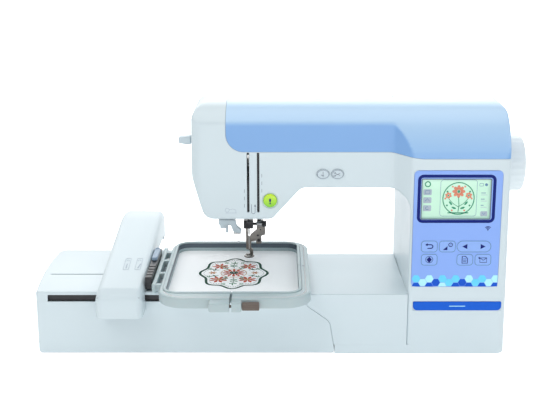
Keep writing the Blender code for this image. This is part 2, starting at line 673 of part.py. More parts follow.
def plate_and_hook(paint):
    plate = box("needle_plate", (-0.084, -0.0236, PLATE_LOW), (-0.004, 0.056, PLATE_TOP), paint=paint["steel"])
    low, high = BOBBIN_WINDOW
    cut_box(plate, "bobbin_window", (*low, 0.060), (*high, 0.090))
    cut_rod(plate, "needle_slot", (NEEDLE.x, NEEDLE.y, PLATE_TOP), 0.020, 0.0020, "Z", sides=16)
    cut_box(plate, "latch_slot", (-0.0200, -0.0063, 0.060), (-0.0075, 0.0043, 0.090))
    box("bobbin_cover", (low[0] + GAP, low[1] + GAP, PLATE_LOW), (high[0] - GAP, high[1] - GAP, PLATE_TOP),
        paint=paint["clear"])
    box("cover_latch", (-0.0195, -0.0060, PLATE_LOW), (-0.0108, 0.0040, PLATE_TOP + 0.0006), paint=paint["black"])
    race = [(0.0196, 0.052), (0.0220, 0.052), (0.0220, 0.066), (0.0196, 0.066)]
    turned("hook_race", race, HOOK, "Z", paint["steel"], sides=32)
    hook_profile = [
        (0.0, 0.030), (0.003, 0.030), (0.003, 0.034), (0.009, 0.034), (0.009, 0.042), (0.003, 0.042),
        (0.003, 0.050), (0.0192, 0.050), (0.0192, 0.067), (0.0172, 0.067), (0.0172, 0.0525), (0.0, 0.0525),
    ]
    hook = turned("rotary_hook", hook_profile, HOOK, "Z", paint["steel"], sides=32)
    cut_box(hook, "hook_point", (HOOK.x + 0.010, HOOK.y - 0.004, 0.060), (HOOK.x + 0.030, HOOK.y + 0.006, 0.080))
    case = [(0.0, 0.0530), (0.0166, 0.0530), (0.0166, 0.0675), (0.0122, 0.0675), (0.0122, 0.0550), (0.0, 0.0550)]
    turned("bobbin_case", case, HOOK, "Z", paint["black"])
    bobbin = [
        (0.003, 0.0554), (0.0102, 0.0554), (0.0102, 0.0564), (0.0055, 0.0564),
        (0.0055, 0.0659), (0.0102, 0.0659), (0.0102, 0.0669), (0.003, 0.0669),
    ]
    turned("bobbin", bobbin, HOOK, "Z", paint["clear"])


# ---------------------------------------------------------------- shafts, belts and motor

TIMING_PULLEY = (0.160, 0.170, 0.012)  # low and high place along X, radius of the groove
DRIVEN_PULLEY = (0.180, 0.188, 0.020)
MOTOR = (-0.030, 0.110)
MOTOR_PULLEY_RADIUS = 0.007
FLANGE = 0.001
FLANGE_HEIGHT = 0.002


def pulley_steps(low, high, groove, shaft):
    """Profile points of a flanged pulley on a shaft."""
    rim = groove + FLANGE_HEIGHT
    return [
        (shaft, low), (rim, low), (rim, low + FLANGE), (groove, low + FLANGE),
        (groove, high - FLANGE), (rim, high - FLANGE), (rim, high), (shaft, high),
    ]


def belt_outline(first, second, radii):
    """Outline of a belt round two wheels, given as (across, up) centres."""
    one, two = Vector(first), Vector(second)
    line = two - one
    heading = math.atan2(line.y, line.x)
    lean = math.acos((radii[0] - radii[1]) / line.length)
    points = []
    for centre, radius, start, end in (
        (one, radii[0], heading + lean, heading + math.tau - lean),
        (two, radii[1], heading - lean, heading + lean),
    ):
        angles = [start + (end - start) * step / 12 for step in range(13)]
        points += [centre + radius * Vector((math.cos(a), math.sin(a))) for a in angles]
    return points


def belt(name, first, second, radii, span, paint):
    clear = 0.0004
    thick = 0.0014
    ring = prism(name, belt_outline(first, second, [r + clear + thick for r in radii]), *span, "X", paint=paint)
    cut(ring, prism(name + "_inside", belt_outline(first, second, [r + clear for r in radii]), -FAR, FAR, "X",
                    helper=True))


def drive(paint):
    shaft = SHAFT_RADIUS
    profile = [(0.0, -0.0555), (shaft, -0.0555)]
    profile += pulley_steps(*TIMING_PULLEY, shaft) + pulley_steps(*DRIVEN_PULLEY, shaft)
    profile += [(shaft, 0.262), (0.0, 0.262)]
    turned("main_shaft", profile, (0, SHAFT_Y, SHAFT_Z), "X", paint["steel"])
    disc = [(shaft + GAP, -0.056), (0.019, -0.056), (0.019, -0.050), (shaft + GAP, -0.050)]
    crank = turned("crank_wheel", disc, (0, SHAFT_Y, SHAFT_Z), "X", paint["steel"])
    join_rod(crank, "crank_pin", (-0.0581, SHAFT_Y, SHAFT_Z + 0.0155), 0.0042, 0.002, "X", sides=12)
    wheel = [
        (shaft + GAP, 0.2475), (0.012, 0.2475), (0.012, 0.2500), (0.0297, 0.2510), (0.0322, 0.2540),
        (0.0322, 0.2720), (0.0292, 0.2770), (0.0237, 0.2780), (0.0, 0.2780), (0.0, 0.2625), (shaft + GAP, 0.2625),
    ]
    turned("handwheel", wheel, (0, SHAFT_Y, SHAFT_Z), "X", paint["casing"], sides=32)
    lower = [(0.0, -0.060), (shaft, -0.060)]
    lower += [(shaft, -0.0486), (0.009, -0.0486), (0.009, -0.0386), (shaft, -0.0386)]
    lower += pulley_steps(*TIMING_PULLEY, shaft) + [(shaft, 0.176), (0.0, 0.176)]
    turned("lower_shaft", lower, (0, LOWER_SHAFT_Y, LOWER_SHAFT_Z), "X", paint["steel"])
    upper_centre, lower_centre = (SHAFT_Y, SHAFT_Z), (LOWER_SHAFT_Y, LOWER_SHAFT_Z)
    timing_radius = TIMING_PULLEY[2]
    belt("timing_belt", upper_centre, lower_centre, (timing_radius, timing_radius), (0.1615, 0.1685), paint["black"])
    belt("motor_belt", upper_centre, MOTOR, (DRIVEN_PULLEY[2], MOTOR_PULLEY_RADIUS), (0.1815, 0.1865),
         paint["black"])
    small = [(0.0, 0.1780)] + [(0.0025, 0.1780)] + pulley_steps(0.180, 0.188, MOTOR_PULLEY_RADIUS, 0.0025)
    turned("motor_pulley", small + [(0.0025, 0.1890), (0.0, 0.1890)], (0, *MOTOR), "X", paint["steel"])
    motor = rod("drive_motor", (0.2135, *MOTOR), 0.048, 0.020, "X", paint["steel"])
    join_box(motor, "motor_terminals", (0.226, MOTOR[0] - 0.006, MOTOR[1] + 0.015), (0.2375, MOTOR[0] + 0.006, 0.134))


# ---------------------------------------------------------------- pieces of the head

BAR_RADIUS = 0.0032
PRESSER_RADIUS = 0.0030
RUNNING = 0.0003
BRACKET_UP = 0.168  # the needle bar's pin for the connecting rod
LEVER_AXIS = (0.058, 0.168)
TAKE_UP_AXIS = (-0.028, 0.216)


def chassis(paint):
    """Cast frame: a wall behind the bars with lugs for the shaft, the bars and the presser lever."""
    frame = box("chassis", (-0.056, 0.046, 0.170), (-0.012, 0.050, 0.242), paint=paint["inner"])
    join_box(frame, "arm_wall", (-0.020, 0.046, 0.1965), (0.128, 0.050, 0.242))
    join_box(frame, "upper_guide", (-0.0495, 0.0240, 0.2360), (-0.0235, 0.0480, 0.2420))
    join_box(frame, "lower_guide", (-0.0495, 0.0240, 0.1770), (-0.0235, 0.0480, 0.1830))
    for number, across in enumerate((-0.0265, 0.120)):
        join_box(frame, f"shaft_lug_{number}", (across, 0.006, 0.1960), (across + 0.008, 0.048, 0.2110))
    join_box(frame, "lever_lug", (-0.0190, 0.048, 0.1640), (-0.0150, 0.0620, 0.1760))
    cut_rod(frame, "shaft_bores", (0.04, SHAFT_Y, SHAFT_Z), 0.300, SHAFT_RADIUS + RUNNING, "X")
    cut_rod(frame, "needle_bar_bores", (NEEDLE.x, NEEDLE.y, 0.200), 0.200, BAR_RADIUS + RUNNING, "Z")
    cut_rod(frame, "presser_bar_bores", (PRESSER.x, PRESSER.y, 0.200), 0.200, PRESSER_RADIUS + RUNNING, "Z")
    cut_rod(frame, "lever_bore_in_lug", (-0.017, *LEVER_AXIS), 0.012, 0.0018, "X", sides=12)


def needle_group(paint):
    bar = rod("needle_bar", (NEEDLE.x, NEEDLE.y, 0.2070), 0.0920, BAR_RADIUS, "Z", paint["steel"])
    join_rod(bar, "bar_end", (NEEDLE.x, NEEDLE.y, 0.14565), 0.0327, 0.0016, "Z")
    join_box(bar, "rod_bracket", (-0.0600, 0.0100, BRACKET_UP - 0.005), (NEEDLE.x + 0.002, 0.0330, BRACKET_UP + 0.005))
    join_rod(bar, "rod_pin", (-0.0620, SHAFT_Y, BRACKET_UP), 0.0052, 0.0020, "X", sides=12)
    link = box("connecting_rod", (-0.0640, SHAFT_Y - 0.0035, BRACKET_UP - 0.005), (-0.0606, SHAFT_Y + 0.0035, 0.2225),
               paint=paint["steel"])
    cut_rod(link, "link_bore", (-0.062, SHAFT_Y, BRACKET_UP), 0.020, 0.0023, "X", sides=12)
    clamp = box("needle_clamp", (-0.0500, 0.0250, 0.1190), (-0.0385, 0.0350, 0.1290), paint=paint["black"],
                bevel=0.0008)
    join_rod(clamp, "clamp_shank", (-0.0315, NEEDLE.y, 0.1240), 0.0160, 0.0016, "X", sides=12)
    join_rod(clamp, "clamp_nut", (-0.0310, NEEDLE.y, 0.1240), 0.0070, 0.0030, "X", sides=12)
    join_rod(clamp, "clamp_knob", (-0.0251, NEEDLE.y, 0.1240), 0.0050, 0.0036, "X", sides=16)
    point = [(0.0, 0.0910), (0.0005, 0.0945), (0.0005, 0.1100), (0.0008, 0.1110), (0.0008, 0.1187), (0.0, 0.1187)]
    turned("needle", point, NEEDLE, "Z", paint["steel"], sides=12)


FOOT_FRONT = 0.0357
FOOT_PLATE = [  # the foot's bracket seen from the front, anticlockwise
    (-0.0475, 0.0905, 0.001), (-0.0430, 0.0885, 0.001), (-0.0430, 0.0823, 0.0), (-0.0389, 0.0823, 0.0008),
    (-0.0389, 0.0890, 0.0012), (-0.0413, 0.0912, 0.001), (-0.0413, 0.1000, 0.001), (-0.0353, 0.1005, 0.0005),
    (-0.0353, 0.0970, 0.001), (-0.0286, 0.0970, 0.001), (-0.0286, 0.1072, 0.0005), (-0.0240, 0.1085, 0.001),
    (-0.0240, 0.1180, 0.001), (-0.0305, 0.1180, 0.001), (-0.0414, 0.1092, 0.002), (-0.0428, 0.1060, 0.0005),
    (-0.0450, 0.1060, 0.0009), (-0.0450, 0.1170, 0.0008), (-0.0478, 0.1170, 0.0008),
]


def presser_group(paint):
    rod("presser_bar", (PRESSER.x, PRESSER.y, 0.18615), 0.1197, PRESSER_RADIUS, "Z", paint["steel"])
    foot = prism("embroidery_foot", rounded(FOOT_PLATE, 2), FOOT_FRONT, 0.0387, "Y", paint=paint["foot_steel"])
    join_box(foot, "foot_block", (-0.0345, FOOT_FRONT, 0.1130), (-0.0262, 0.0440, 0.1260))
    join_box(foot, "foot_toe", (-0.0480, 0.0330, 0.0823), (-0.0389, FOOT_FRONT + 0.001, 0.0845))
    join_rod(foot, "foot_ring", (NEEDLE.x, NEEDLE.y, 0.08315), 0.0017, 0.0062, "Z", sides=24)
    cut_rod(foot, "foot_eye", (NEEDLE.x, NEEDLE.y, 0.083), 0.010, 0.0034, "Z", sides=24)
    cut_rod(foot, "screw_hole", (-0.0320, 0.0380, 0.1015), 0.0080, 0.0014, "Y", sides=12)
    screw = rod("foot_screw", (-0.0320, 0.0349, 0.1015), 0.0010, 0.0019, "Y", paint["black"], sides=16)
    join_rod(screw, "screw_shank", (-0.0320, 0.0370, 0.1015), 0.0040, 0.0011, "Y", sides=12)
    lever = box("presser_lever", (-0.0235, 0.0550, 0.1300), (-0.0195, 0.0610, 0.1710), paint=paint["casing"],
                bevel=0.0006)
    join_box(lever, "lever_tip", (-0.0270, 0.0540, 0.1255), (-0.0140, 0.0620, 0.1340))
    join_rod(lever, "lever_axle", (-0.0175, *LEVER_AXIS), 0.0070, 0.0015, "X", sides=12)


THREADER_CARRIER = [  # the holder of the threader's hook seen from the front, anticlockwise
    (-0.0770, 0.1262, 0.001), (-0.0700, 0.1262, 0.001), (-0.0700, 0.1300, 0.001), (-0.0645, 0.1300, 0.001),
    (-0.0610, 0.1215, 0.001), (-0.0540, 0.1205, 0.0008), (-0.0515, 0.1235, 0.0008), (-0.0575, 0.1290, 0.001),
    (-0.0590, 0.1365, 0.001), (-0.0790, 0.1365, 0.001), (-0.0790, 0.1315, 0.001), (-0.0770, 0.1300, 0.0005),
]


def threader_group(paint):
    along, up = THREADER
    tapered = [
        (-0.1215, up - 0.0035, 0.002), (-0.1075, up - 0.0052, 0.001),
        (-0.1075, up + 0.0052, 0.001), (-0.1215, up + 0.0035, 0.002),
    ]
    lever = prism("threader_lever", rounded(tapered), along - 0.0055, along + 0.0055, "Y", paint=paint["casing"])
    join_box(lever, "threader_stem", (-0.1080, along - 0.0025, up - 0.003), (-0.0950, along + 0.0025, up + 0.003))
    join_box(lever, "threader_plate", (-0.0985, along - 0.0070, up - 0.010), (-0.0950, along + 0.0070, up + 0.008))
    join_box(lever, "threader_arm", (-0.0960, along - 0.0025, up - 0.008), (-0.0660, along + 0.0025, up - 0.004))
    join_box(lever, "threader_reach", (-0.0720, along - 0.0025, up - 0.008), (-0.0660, 0.0090, up - 0.004))
    hook = rod("threader_hook", (-0.0690, 0.0060, 0.17475), 0.1095, 0.0015, "Z", paint["casing"], sides=12)
    join(hook, prism("threader_carrier", rounded(THREADER_CARRIER, 2), 0.0010, 0.0088, "Y", helper=True))
    join_box(hook, "threader_blade", (-0.0610, 0.0040, 0.1185), (-0.0525, 0.0052, 0.1225))


def take_up(paint):
    """Thread take-up lever, whose eye shows in the left thread slot."""
    along, up = TAKE_UP_AXIS
    outline = [
        (along + 0.004, up - 0.004, 0.003), (along + 0.004, up + 0.004, 0.003),
        (-0.0560, 0.2290, 0.002), (-0.0632, 0.2300, 0.001),
        (-0.0632, 0.2250, 0.001), (-0.0560, 0.2235, 0.003), (along - 0.002, up - 0.005, 0.002),
    ]
    across = THREAD_SLOTS[0]
    prism("take_up_lever", rounded(outline, 3), across - 0.0008, across + 0.0008, "X", paint=paint["steel"])


def fittings(paint):
    box("lamp", (-0.0600, -0.0400, 0.1552), (-0.0300, -0.0200, 0.1617), paint=paint["clear"])
    pin = rod("spool_pin", (0.05925, -0.036, 0.262), 0.0715, 0.0022, "X", paint["casing"], sides=16)
    join_rod(pin, "spool_flange", (0.0245, -0.036, 0.262), 0.0020, 0.0080, "X")
    spindle = [(0.0, 0.2556), (0.008, 0.2556), (0.008, 0.2575), (0.003, 0.2575), (0.003, 0.2730), (0.002, 0.2740),
               (0.0, 0.2740)]
    turned("winder_spindle", spindle, (0.197, -0.0315, 0.0), "Z", paint["black"])
    handle = box("carry_handle", (-0.0410, 0.0360, 0.2640), (0.1210, 0.0440, 0.2710), paint=paint["casing"])
    for name, across in (("left", -0.0410), ("right", 0.1150)):
        join_box(handle, f"handle_{name}", (across, 0.0110, 0.2640), (across + 0.006, 0.0440, 0.2710))
        outer = across + 0.0005 if name == "left" else across + 0.0055
        join_rod(handle, f"handle_{name}_pin", (outer, 0.0145, 0.2675), 0.0080, 0.0020, "X", sides=12)
    box("power_switch", (0.2450, 0.0285, 0.0532), (0.2520, 0.0475, 0.0668), paint=paint["black"])
    inlet = box("power_inlet", (0.2405, 0.0265, 0.0245), (0.2490, 0.0495, 0.0415), paint=paint["black"])
    cut_box(inlet, "inlet_recess", (0.2425, 0.0300, 0.0280), (0.2700, 0.0460, 0.0380))


def main():
    global parts, cutters
    clear_scene()
    parts = collection(OBJECT_NAME)
    cutters = collection("cutters")
    cutters.hide_render = True
    paint = make_materials()
    casing(paint)
    panel_and_buttons(paint)
    bed(paint)
    base(paint)
    embroidery_unit(paint)
    carriage(paint)
    frame_holder(paint)
    hoop(paint)
    plate_and_hook(paint)
    drive(paint)
    chassis(paint)
    needle_group(paint)
    presser_group(paint)
    threader_group(paint)
    take_up(paint)
    fittings(paint)


main()
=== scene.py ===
"""The looks of the embroidery machine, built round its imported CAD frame.

Metres, +Z up, in the frame's own axes. The shells, the hoop with its cloth and stitches, the prints and the
small parts in view are rebuilt here with a fine surface. The mechanism inside keeps its CAD mesh, with
softened edges and its own materials.
"""

import math

import bmesh
import bpy
from mathutils import Matrix, Vector


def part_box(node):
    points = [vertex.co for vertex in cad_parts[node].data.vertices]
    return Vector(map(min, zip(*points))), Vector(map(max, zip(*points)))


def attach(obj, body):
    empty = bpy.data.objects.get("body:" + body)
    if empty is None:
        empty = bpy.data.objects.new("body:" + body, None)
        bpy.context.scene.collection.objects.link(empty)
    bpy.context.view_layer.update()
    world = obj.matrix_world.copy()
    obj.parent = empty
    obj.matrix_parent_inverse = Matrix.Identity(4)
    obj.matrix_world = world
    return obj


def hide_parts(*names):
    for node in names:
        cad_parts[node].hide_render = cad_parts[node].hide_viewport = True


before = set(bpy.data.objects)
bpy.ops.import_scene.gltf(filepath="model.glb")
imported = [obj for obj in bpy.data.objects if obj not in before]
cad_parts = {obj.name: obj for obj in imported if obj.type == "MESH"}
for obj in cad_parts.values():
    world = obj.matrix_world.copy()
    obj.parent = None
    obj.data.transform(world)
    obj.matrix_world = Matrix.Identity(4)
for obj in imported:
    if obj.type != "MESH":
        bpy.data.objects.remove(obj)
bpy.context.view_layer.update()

# ---------------------------------------------------------------- sizes shared with the CAD outlines

DATUM = Vector((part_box("carriage_cover")[1].x + 0.158, 0.0, 0.0))  # sizes across are taken from this plane
GAP = 0.0003  # between neighbouring pieces
FAR = 0.5  # reach of a cutter
ARC = 14  # facets in a rounded corner
EDGE = 5  # facets in a softened edge
LEAST_RADIUS = 2e-5  # of a rounded corner after an inset, so that every ring has the same points

SKIRT_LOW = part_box("base_tray")[0].z
FOOT_TOP = 0.0045
TRAY_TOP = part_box("base_tray")[1].z
BED_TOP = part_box("bed_cover")[1].z
UNIT_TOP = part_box("unit_upper_cover")[1].z
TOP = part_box("top_cover")[1].z
HEAD_BOTTOM = 0.1557
ARM_BOTTOM = 0.192
HEAD_LEFT = -0.105
HEAD_FRONT = -0.065
COLUMN_LEFT = 0.138
COLUMN_RIGHT = 0.25
COLUMN_FRONT = -0.081
HOUSING_REAR = 0.087
HOUSING_SPLIT = 0.003
ARM_LEFT = -0.11
ARM_FRONT = -0.024
BED_REAR = 0.075
NEEDLE = Vector((-0.0436, 0.03, 0.0))
SHAFT_Y = 0.014
SHAFT_Z = 0.203
SHAFT_RADIUS = 0.004

scene = bpy.context.scene


# ---------------------------------------------------------------- outlines

def sides_of(outline):
    """Each corner with the ones before and after it."""
    return zip(outline[-1:] + outline[:-1], outline, outline[1:] + outline[:1])


def corner_arc(before, corner, after, radius, steps):
    back = (before - corner).normalized()
    ahead = (after - corner).normalized()
    half = back.angle(ahead) / 2
    centre = corner + (back + ahead).normalized() * radius / math.sin(half)
    start = corner + back * radius / math.tan(half) - centre
    end = corner + ahead * radius / math.tan(half) - centre
    first = math.atan2(start.y, start.x)
    turn = (math.atan2(end.y, end.x) - first + math.pi) % math.tau - math.pi
    angles = [first + turn * step / steps for step in range(steps + 1)]
    return [centre + radius * Vector((math.cos(a), math.sin(a))) for a in angles]


def rounded(corners, steps=ARC):
    """Points of an outline whose (across, up, radius) corners are rounded."""
    points = []
    for before, corner, after in sides_of(list(corners)):
        here = Vector(corner[:2])
        if corner[2] > 0:
            points += corner_arc(Vector(before[:2]), here, Vector(after[:2]), corner[2], steps)
        else:
            points.append(here)
    return points


def inset(corners, wall, least=0.0):
    """The outline moved inwards; corners run anticlockwise. Rounded ones keep at least the least radius."""
    moved = []
    for before, corner, after in sides_of(list(corners)):
        into = (Vector(corner[:2]) - Vector(before[:2])).normalized()
        out = (Vector(after[:2]) - Vector(corner[:2])).normalized()
        normal_in = Vector((-into.y, into.x))
        normal_out = Vector((-out.y, out.x))
        here = Vector(corner[:2]) + wall * (normal_in + normal_out) / (1 + normal_in.dot(normal_out))
        grown = corner[2] - wall if into.cross(out) > 0 else corner[2] + wall
        moved.append((here.x, here.y, max(grown, least) if corner[2] else 0.0))
    return moved


def rectangle(low, high, radius=0.0):
    return [
        (low[0], low[1], radius),
        (high[0], low[1], radius),
        (high[0], high[1], radius),
        (low[0], high[1], radius),
    ]


def about(place, half_across, half_up, radius=0.0):
    """A rectangle round its middle."""
    low = (place[0] - half_across, place[1] - half_up)
    return rectangle(low, (place[0] + half_across, place[1] + half_up), radius)


def grown(low, high, by):
    """The two corners of a box or rectangle moved outwards."""
    return [v - by for v in low], [v + by for v in high]


def oval(place, radii, steps=48):
    angles = [math.tau * step / steps for step in range(steps)]
    return [Vector((place[0] + radii[0] * math.cos(a), place[1] + radii[1] * math.sin(a))) for a in angles]


# ---------------------------------------------------------------- solids

def link_mesh(name, bm, paint=None):
    """A new object from a bmesh in datum sizes; the paint is a key of PAINT."""
    bmesh.ops.recalc_face_normals(bm, faces=bm.faces)
    bmesh.ops.translate(bm, verts=bm.verts, vec=DATUM)
    mesh = bpy.data.meshes.new(name)
    bm.to_mesh(mesh)
    bm.free()
    obj = bpy.data.objects.new(name, mesh)
    scene.collection.objects.link(obj)
    if paint:
        mesh.materials.append(PAINT[paint])
    return obj


def placed(across, up, along, axis):
    """A point of an outline that lies square to the axis, at a distance along it."""
    if axis == "X":
        return Vector((along, across, up))
    if axis == "Y":
        return Vector((across, along, up))
    return Vector((across, up, along))


def loft(bm, rings):
    """Walls between rings of equal length, closed with a face at each end."""
    made = [[bm.verts.new(point) for point in ring] for ring in rings]
    for one, two in zip(made, made[1:]):
        for step in range(len(one)):
            following = (step + 1) % len(one)
            bm.faces.new((one[step], one[following], two[following], two[step]))
    bm.faces.new(made[0])
    bm.faces.new(made[-1])


def lofted(name, rings, paint=None):
    """A closed solid through rings of equal length."""
    bm = bmesh.new()
    loft(bm, rings)
    return link_mesh(name, bm, paint)


def prism(name, outline, low, high, axis, paint=None):
    """An outline drawn out along an axis, with sharp edges."""
    return lofted(name, [[placed(p[0], p[1], along, axis) for p in outline] for along in (low, high)], paint)


def soft_prism(name, corners, low, high, axis, paint=None, edges=(0.001, 0.001), steps=EDGE, arc=ARC):
    """A prism whose end edges are rounded; the corners are (across, up, radius)."""
    rings = []
    for edge, end, outwards in ((edges[0], low, -1), (edges[1], high, 1)):
        turns = [step / steps for step in range(steps + 1)] if edge else [0]
        for turn in turns:
            angle = math.pi / 2 * (1 - turn if outwards < 0 else turn)
            wall = edge * (1 - math.cos(angle))
            along = end - outwards * edge * (1 - math.sin(angle))
            outline = rounded(inset(corners, wall, LEAST_RADIUS), arc)
            rings.append([placed(p.x, p.y, along, axis) for p in outline])
    return lofted(name, rings, paint)


RIBS = 18  # on a knurled knob


def ribbed(high, low):
    """The radii of a ring whose ribs have two points and whose grooves have two."""
    return [high if step % 4 < 2 else low for step in range(4 * RIBS)]


def about_x(along, centre, radii):
    """A ring about an axis along X, with one point for each of the radii."""
    turns = [(radius, math.tau * step / len(radii)) for step, radius in enumerate(radii)]
    return [Vector((along, centre[0] + r * math.cos(a), centre[1] + r * math.sin(a))) for r, a in turns]


def box(name, low, high, paint=None, edge=0.0):
    """A box; an edge radius rounds all its edges."""
    bm = bmesh.new()
    middle = (Vector(low) + Vector(high)) / 2
    size = Vector(high) - Vector(low)
    bmesh.ops.create_cube(bm, size=1.0, matrix=Matrix.Translation(middle) @ Matrix.Diagonal((*size, 1)))
    if edge:
        bmesh.ops.bevel(bm, geom=bm.edges[:], offset=edge, segments=4, profile=0.5, affect="EDGES")
    return link_mesh(name, bm, paint)


TURN = {
    "Z": Matrix.Identity(4),
    "X": Matrix.Rotation(math.radians(90), 4, "Y"),
    "Y": Matrix.Rotation(math.radians(-90), 4, "X"),
}


def turned(name, profile, centre, axis, paint=None, sides=64):
    """A closed (radius, along) profile turned about an axis through the centre."""
    bm = bmesh.new()
    points = [bm.verts.new((radius, 0.0, along)) for radius, along in profile]
    edges = [
        bm.edges.new(pair) for pair in zip(points, points[1:] + points[:1])
        if pair[0].co.x > 0 or pair[1].co.x > 0
    ]
    bmesh.ops.spin(
        bm, geom=points + edges, cent=(0, 0, 0), axis=(0, 0, 1), angle=math.tau, steps=sides,
        use_merge=True, use_duplicate=False,
    )
    bmesh.ops.remove_doubles(bm, verts=bm.verts, dist=1e-6)
    bm.transform(Matrix.Translation(Vector(centre)) @ TURN[axis])
    return link_mesh(name, bm, paint)


def rod(name, centre, length, radius, axis, paint=None, edge=0.0003, sides=40):
    """A cylinder about its centre, with rounded rims."""
    half = length / 2
    profile = [(0.0, -half), (radius - edge, -half), (radius, edge - half), (radius, half - edge),
               (radius - edge, half), (0.0, half)]
    return turned(name, profile, centre, axis, paint, sides)


def settle(obj):
    """The object's modifiers applied to its mesh."""
    graph = bpy.context.evaluated_depsgraph_get()
    mesh = bpy.data.meshes.new_from_object(obj.evaluated_get(graph))
    old = obj.data
    obj.modifiers.clear()
    obj.data = mesh
    bpy.data.meshes.remove(old)
    return obj


def combine(obj, tools, operation):
    """The object cut, joined or limited by tools, which are then removed."""
    for tool in tools:
        change = obj.modifiers.new(tool.name, "BOOLEAN")
        change.operation = operation
        change.object = tool
        change.solver = "MANIFOLD"
    settle(obj)
    for tool in tools:
        bpy.data.objects.remove(tool)
    return obj


def cut(obj, *tools):
    return combine(obj, tools, "DIFFERENCE")


def join(obj, *tools):
    return combine(obj, tools, "UNION")


def keep(obj, *tools):
    return combine(obj, tools, "INTERSECT")


def moulded(obj, voxel, passes):
    """Soft moulded edges: the form remeshed finely and relaxed."""
    remesh = obj.modifiers.new("remesh", "REMESH")
    remesh.mode = "VOXEL"
    remesh.voxel_size = voxel
    relax = obj.modifiers.new("relax", "SMOOTH")
    relax.factor = 0.5
    relax.iterations = passes
    return settle(obj)


def ready(obj, body, slot, *replaced, angle=35):
    """Shades the piece, sets what it rides on and hides the CAD nodes it stands for; the slot is not used."""
    obj.data.shade_smooth()
    obj.data.set_sharp_from_angle(angle=math.radians(angle))
    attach(obj, body)
    if replaced:
        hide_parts(*replaced)
    return obj


# ---------------------------------------------------------------- materials

GRAIN = 1500.0  # scale of the fine texture on moulded plastic
BAND = math.tau / 20  # a wave texture's scale times its pitch


def feed(node, **values):
    """Sets inputs of a node by name, with an underscore for each space."""
    for key, value in values.items():
        node.inputs[key.replace("_", " ")].default_value = value


class Nodes:
    """A material's node tree, built one node at a time."""

    def __init__(self, name):
        self.material = bpy.data.materials.new(name)
        self.material.use_nodes = True
        self.tree = self.material.node_tree
        self.shader = self.tree.nodes["Principled BSDF"]
        self.place = self.add("TexCoord").outputs["Object"]

    def add(self, kind, **values):
        node = self.tree.nodes.new("ShaderNode" + kind)
        for key, value in values.items():
            setattr(node, key, value)
        return node

    def link(self, out, into):
        self.tree.links.new(out, into)

    def stretched(self, scale):
        mapping = self.add("Mapping")
        feed(mapping, Scale=scale)
        self.link(self.place, mapping.inputs["Vector"])
        return mapping.outputs["Vector"]

    def noise(self, scale, detail=2.0, rough=0.5, place=None):
        node = self.add("TexNoise")
        feed(node, Scale=scale, Detail=detail, Roughness=rough)
        self.link(place or self.place, node.inputs["Vector"])
        return node.outputs["Fac"]

    def wave(self, direction, **values):
        node = self.add("TexWave", wave_type="BANDS", bands_direction=direction, wave_profile="SIN")
        feed(node, **values)
        self.link(self.place, node.inputs["Vector"])
        return node.outputs["Fac"]

    def ramp(self, factor, stops):
        node = self.add("ValToRGB")
        while len(node.color_ramp.elements) < len(stops):
            node.color_ramp.elements.new(0.5)
        for element, (position, colour) in zip(node.color_ramp.elements, stops):
            element.position = position
            element.color = (*colour, 1.0)
        self.link(factor, node.inputs["Fac"])
        return node.outputs["Color"]

    def spread(self, factor, low, high):
        node = self.add("MapRange")
        feed(node, From_Min=0.15, From_Max=0.85, To_Min=low, To_Max=high)
        self.link(factor, node.inputs["Value"])
        return node.outputs["Result"]

    def math(self, operation, first, second):
        node = self.add("Math", operation=operation)
        for socket, value in zip(node.inputs, (first, second)):
            if isinstance(value, (int, float)):
                socket.default_value = value
            else:
                self.link(value, socket)
        return node.outputs["Value"]

    def bump(self, height, depth, strength=1.0):
        node = self.add("Bump")
        feed(node, Strength=strength, Distance=depth)
        self.link(height, node.inputs["Height"])
        return node.outputs["Normal"]

    def finish(self, colour=None, rough=None, normal=None, **constants):
        for socket, value in (("Base Color", colour), ("Roughness", rough), ("Normal", normal)):
            if value:
                self.link(value, self.shader.inputs[socket])
        feed(self.shader, **constants)
        return self.material


def shade(colour, factor):
    return tuple(min(1.0, channel * factor) for channel in colour)


def plastic(name, colour, rough=0.33, grain=0.00003, change=0.02, fine=GRAIN, **constants):
    """Moulded plastic: a fine spark texture, faint clouding and a little handling shine."""
    made = Nodes(name)
    cloud = made.noise(9.0, 3.0)
    base = made.ramp(cloud, [(0.15, shade(colour, 1 - change)), (0.85, shade(colour, 1 + change / 3))])
    shine = made.spread(made.noise(35.0, 4.0), rough - 0.035, rough + 0.045)
    texture = made.bump(made.noise(fine, 2.0), grain, 0.55)
    return made.finish(base, shine, texture, **constants)


def steel(name, colour, rough=0.22, along=(60.0, 60.0, 4000.0), scratch=0.000012):
    """Ground steel: fine marks along one direction and faint staining."""
    made = Nodes(name)
    lines = made.noise(1.0, 4.0, 0.6, made.stretched(along))
    base = made.ramp(lines, [(0.3, shade(colour, 0.86)), (0.7, colour)])
    stain = made.noise(120.0, 3.0)
    mixed = made.math("ADD", made.math("MULTIPLY", lines, 0.5), made.math("MULTIPLY", stain, 0.5))
    shine = made.spread(mixed, rough - 0.06, rough + 0.1)
    return made.finish(base, shine, made.bump(lines, scratch, 0.5), Metallic=1.0)


def weave_height(made, pitch):
    """Height of a plain weave with the given thread spacing in metres."""
    waves = [made.wave(direction, Scale=BAND / pitch, Distortion=0.6, Detail=1.0, Detail_Scale=1.5)
             for direction in ("X", "Y")]
    return made.math("MAXIMUM", *waves)


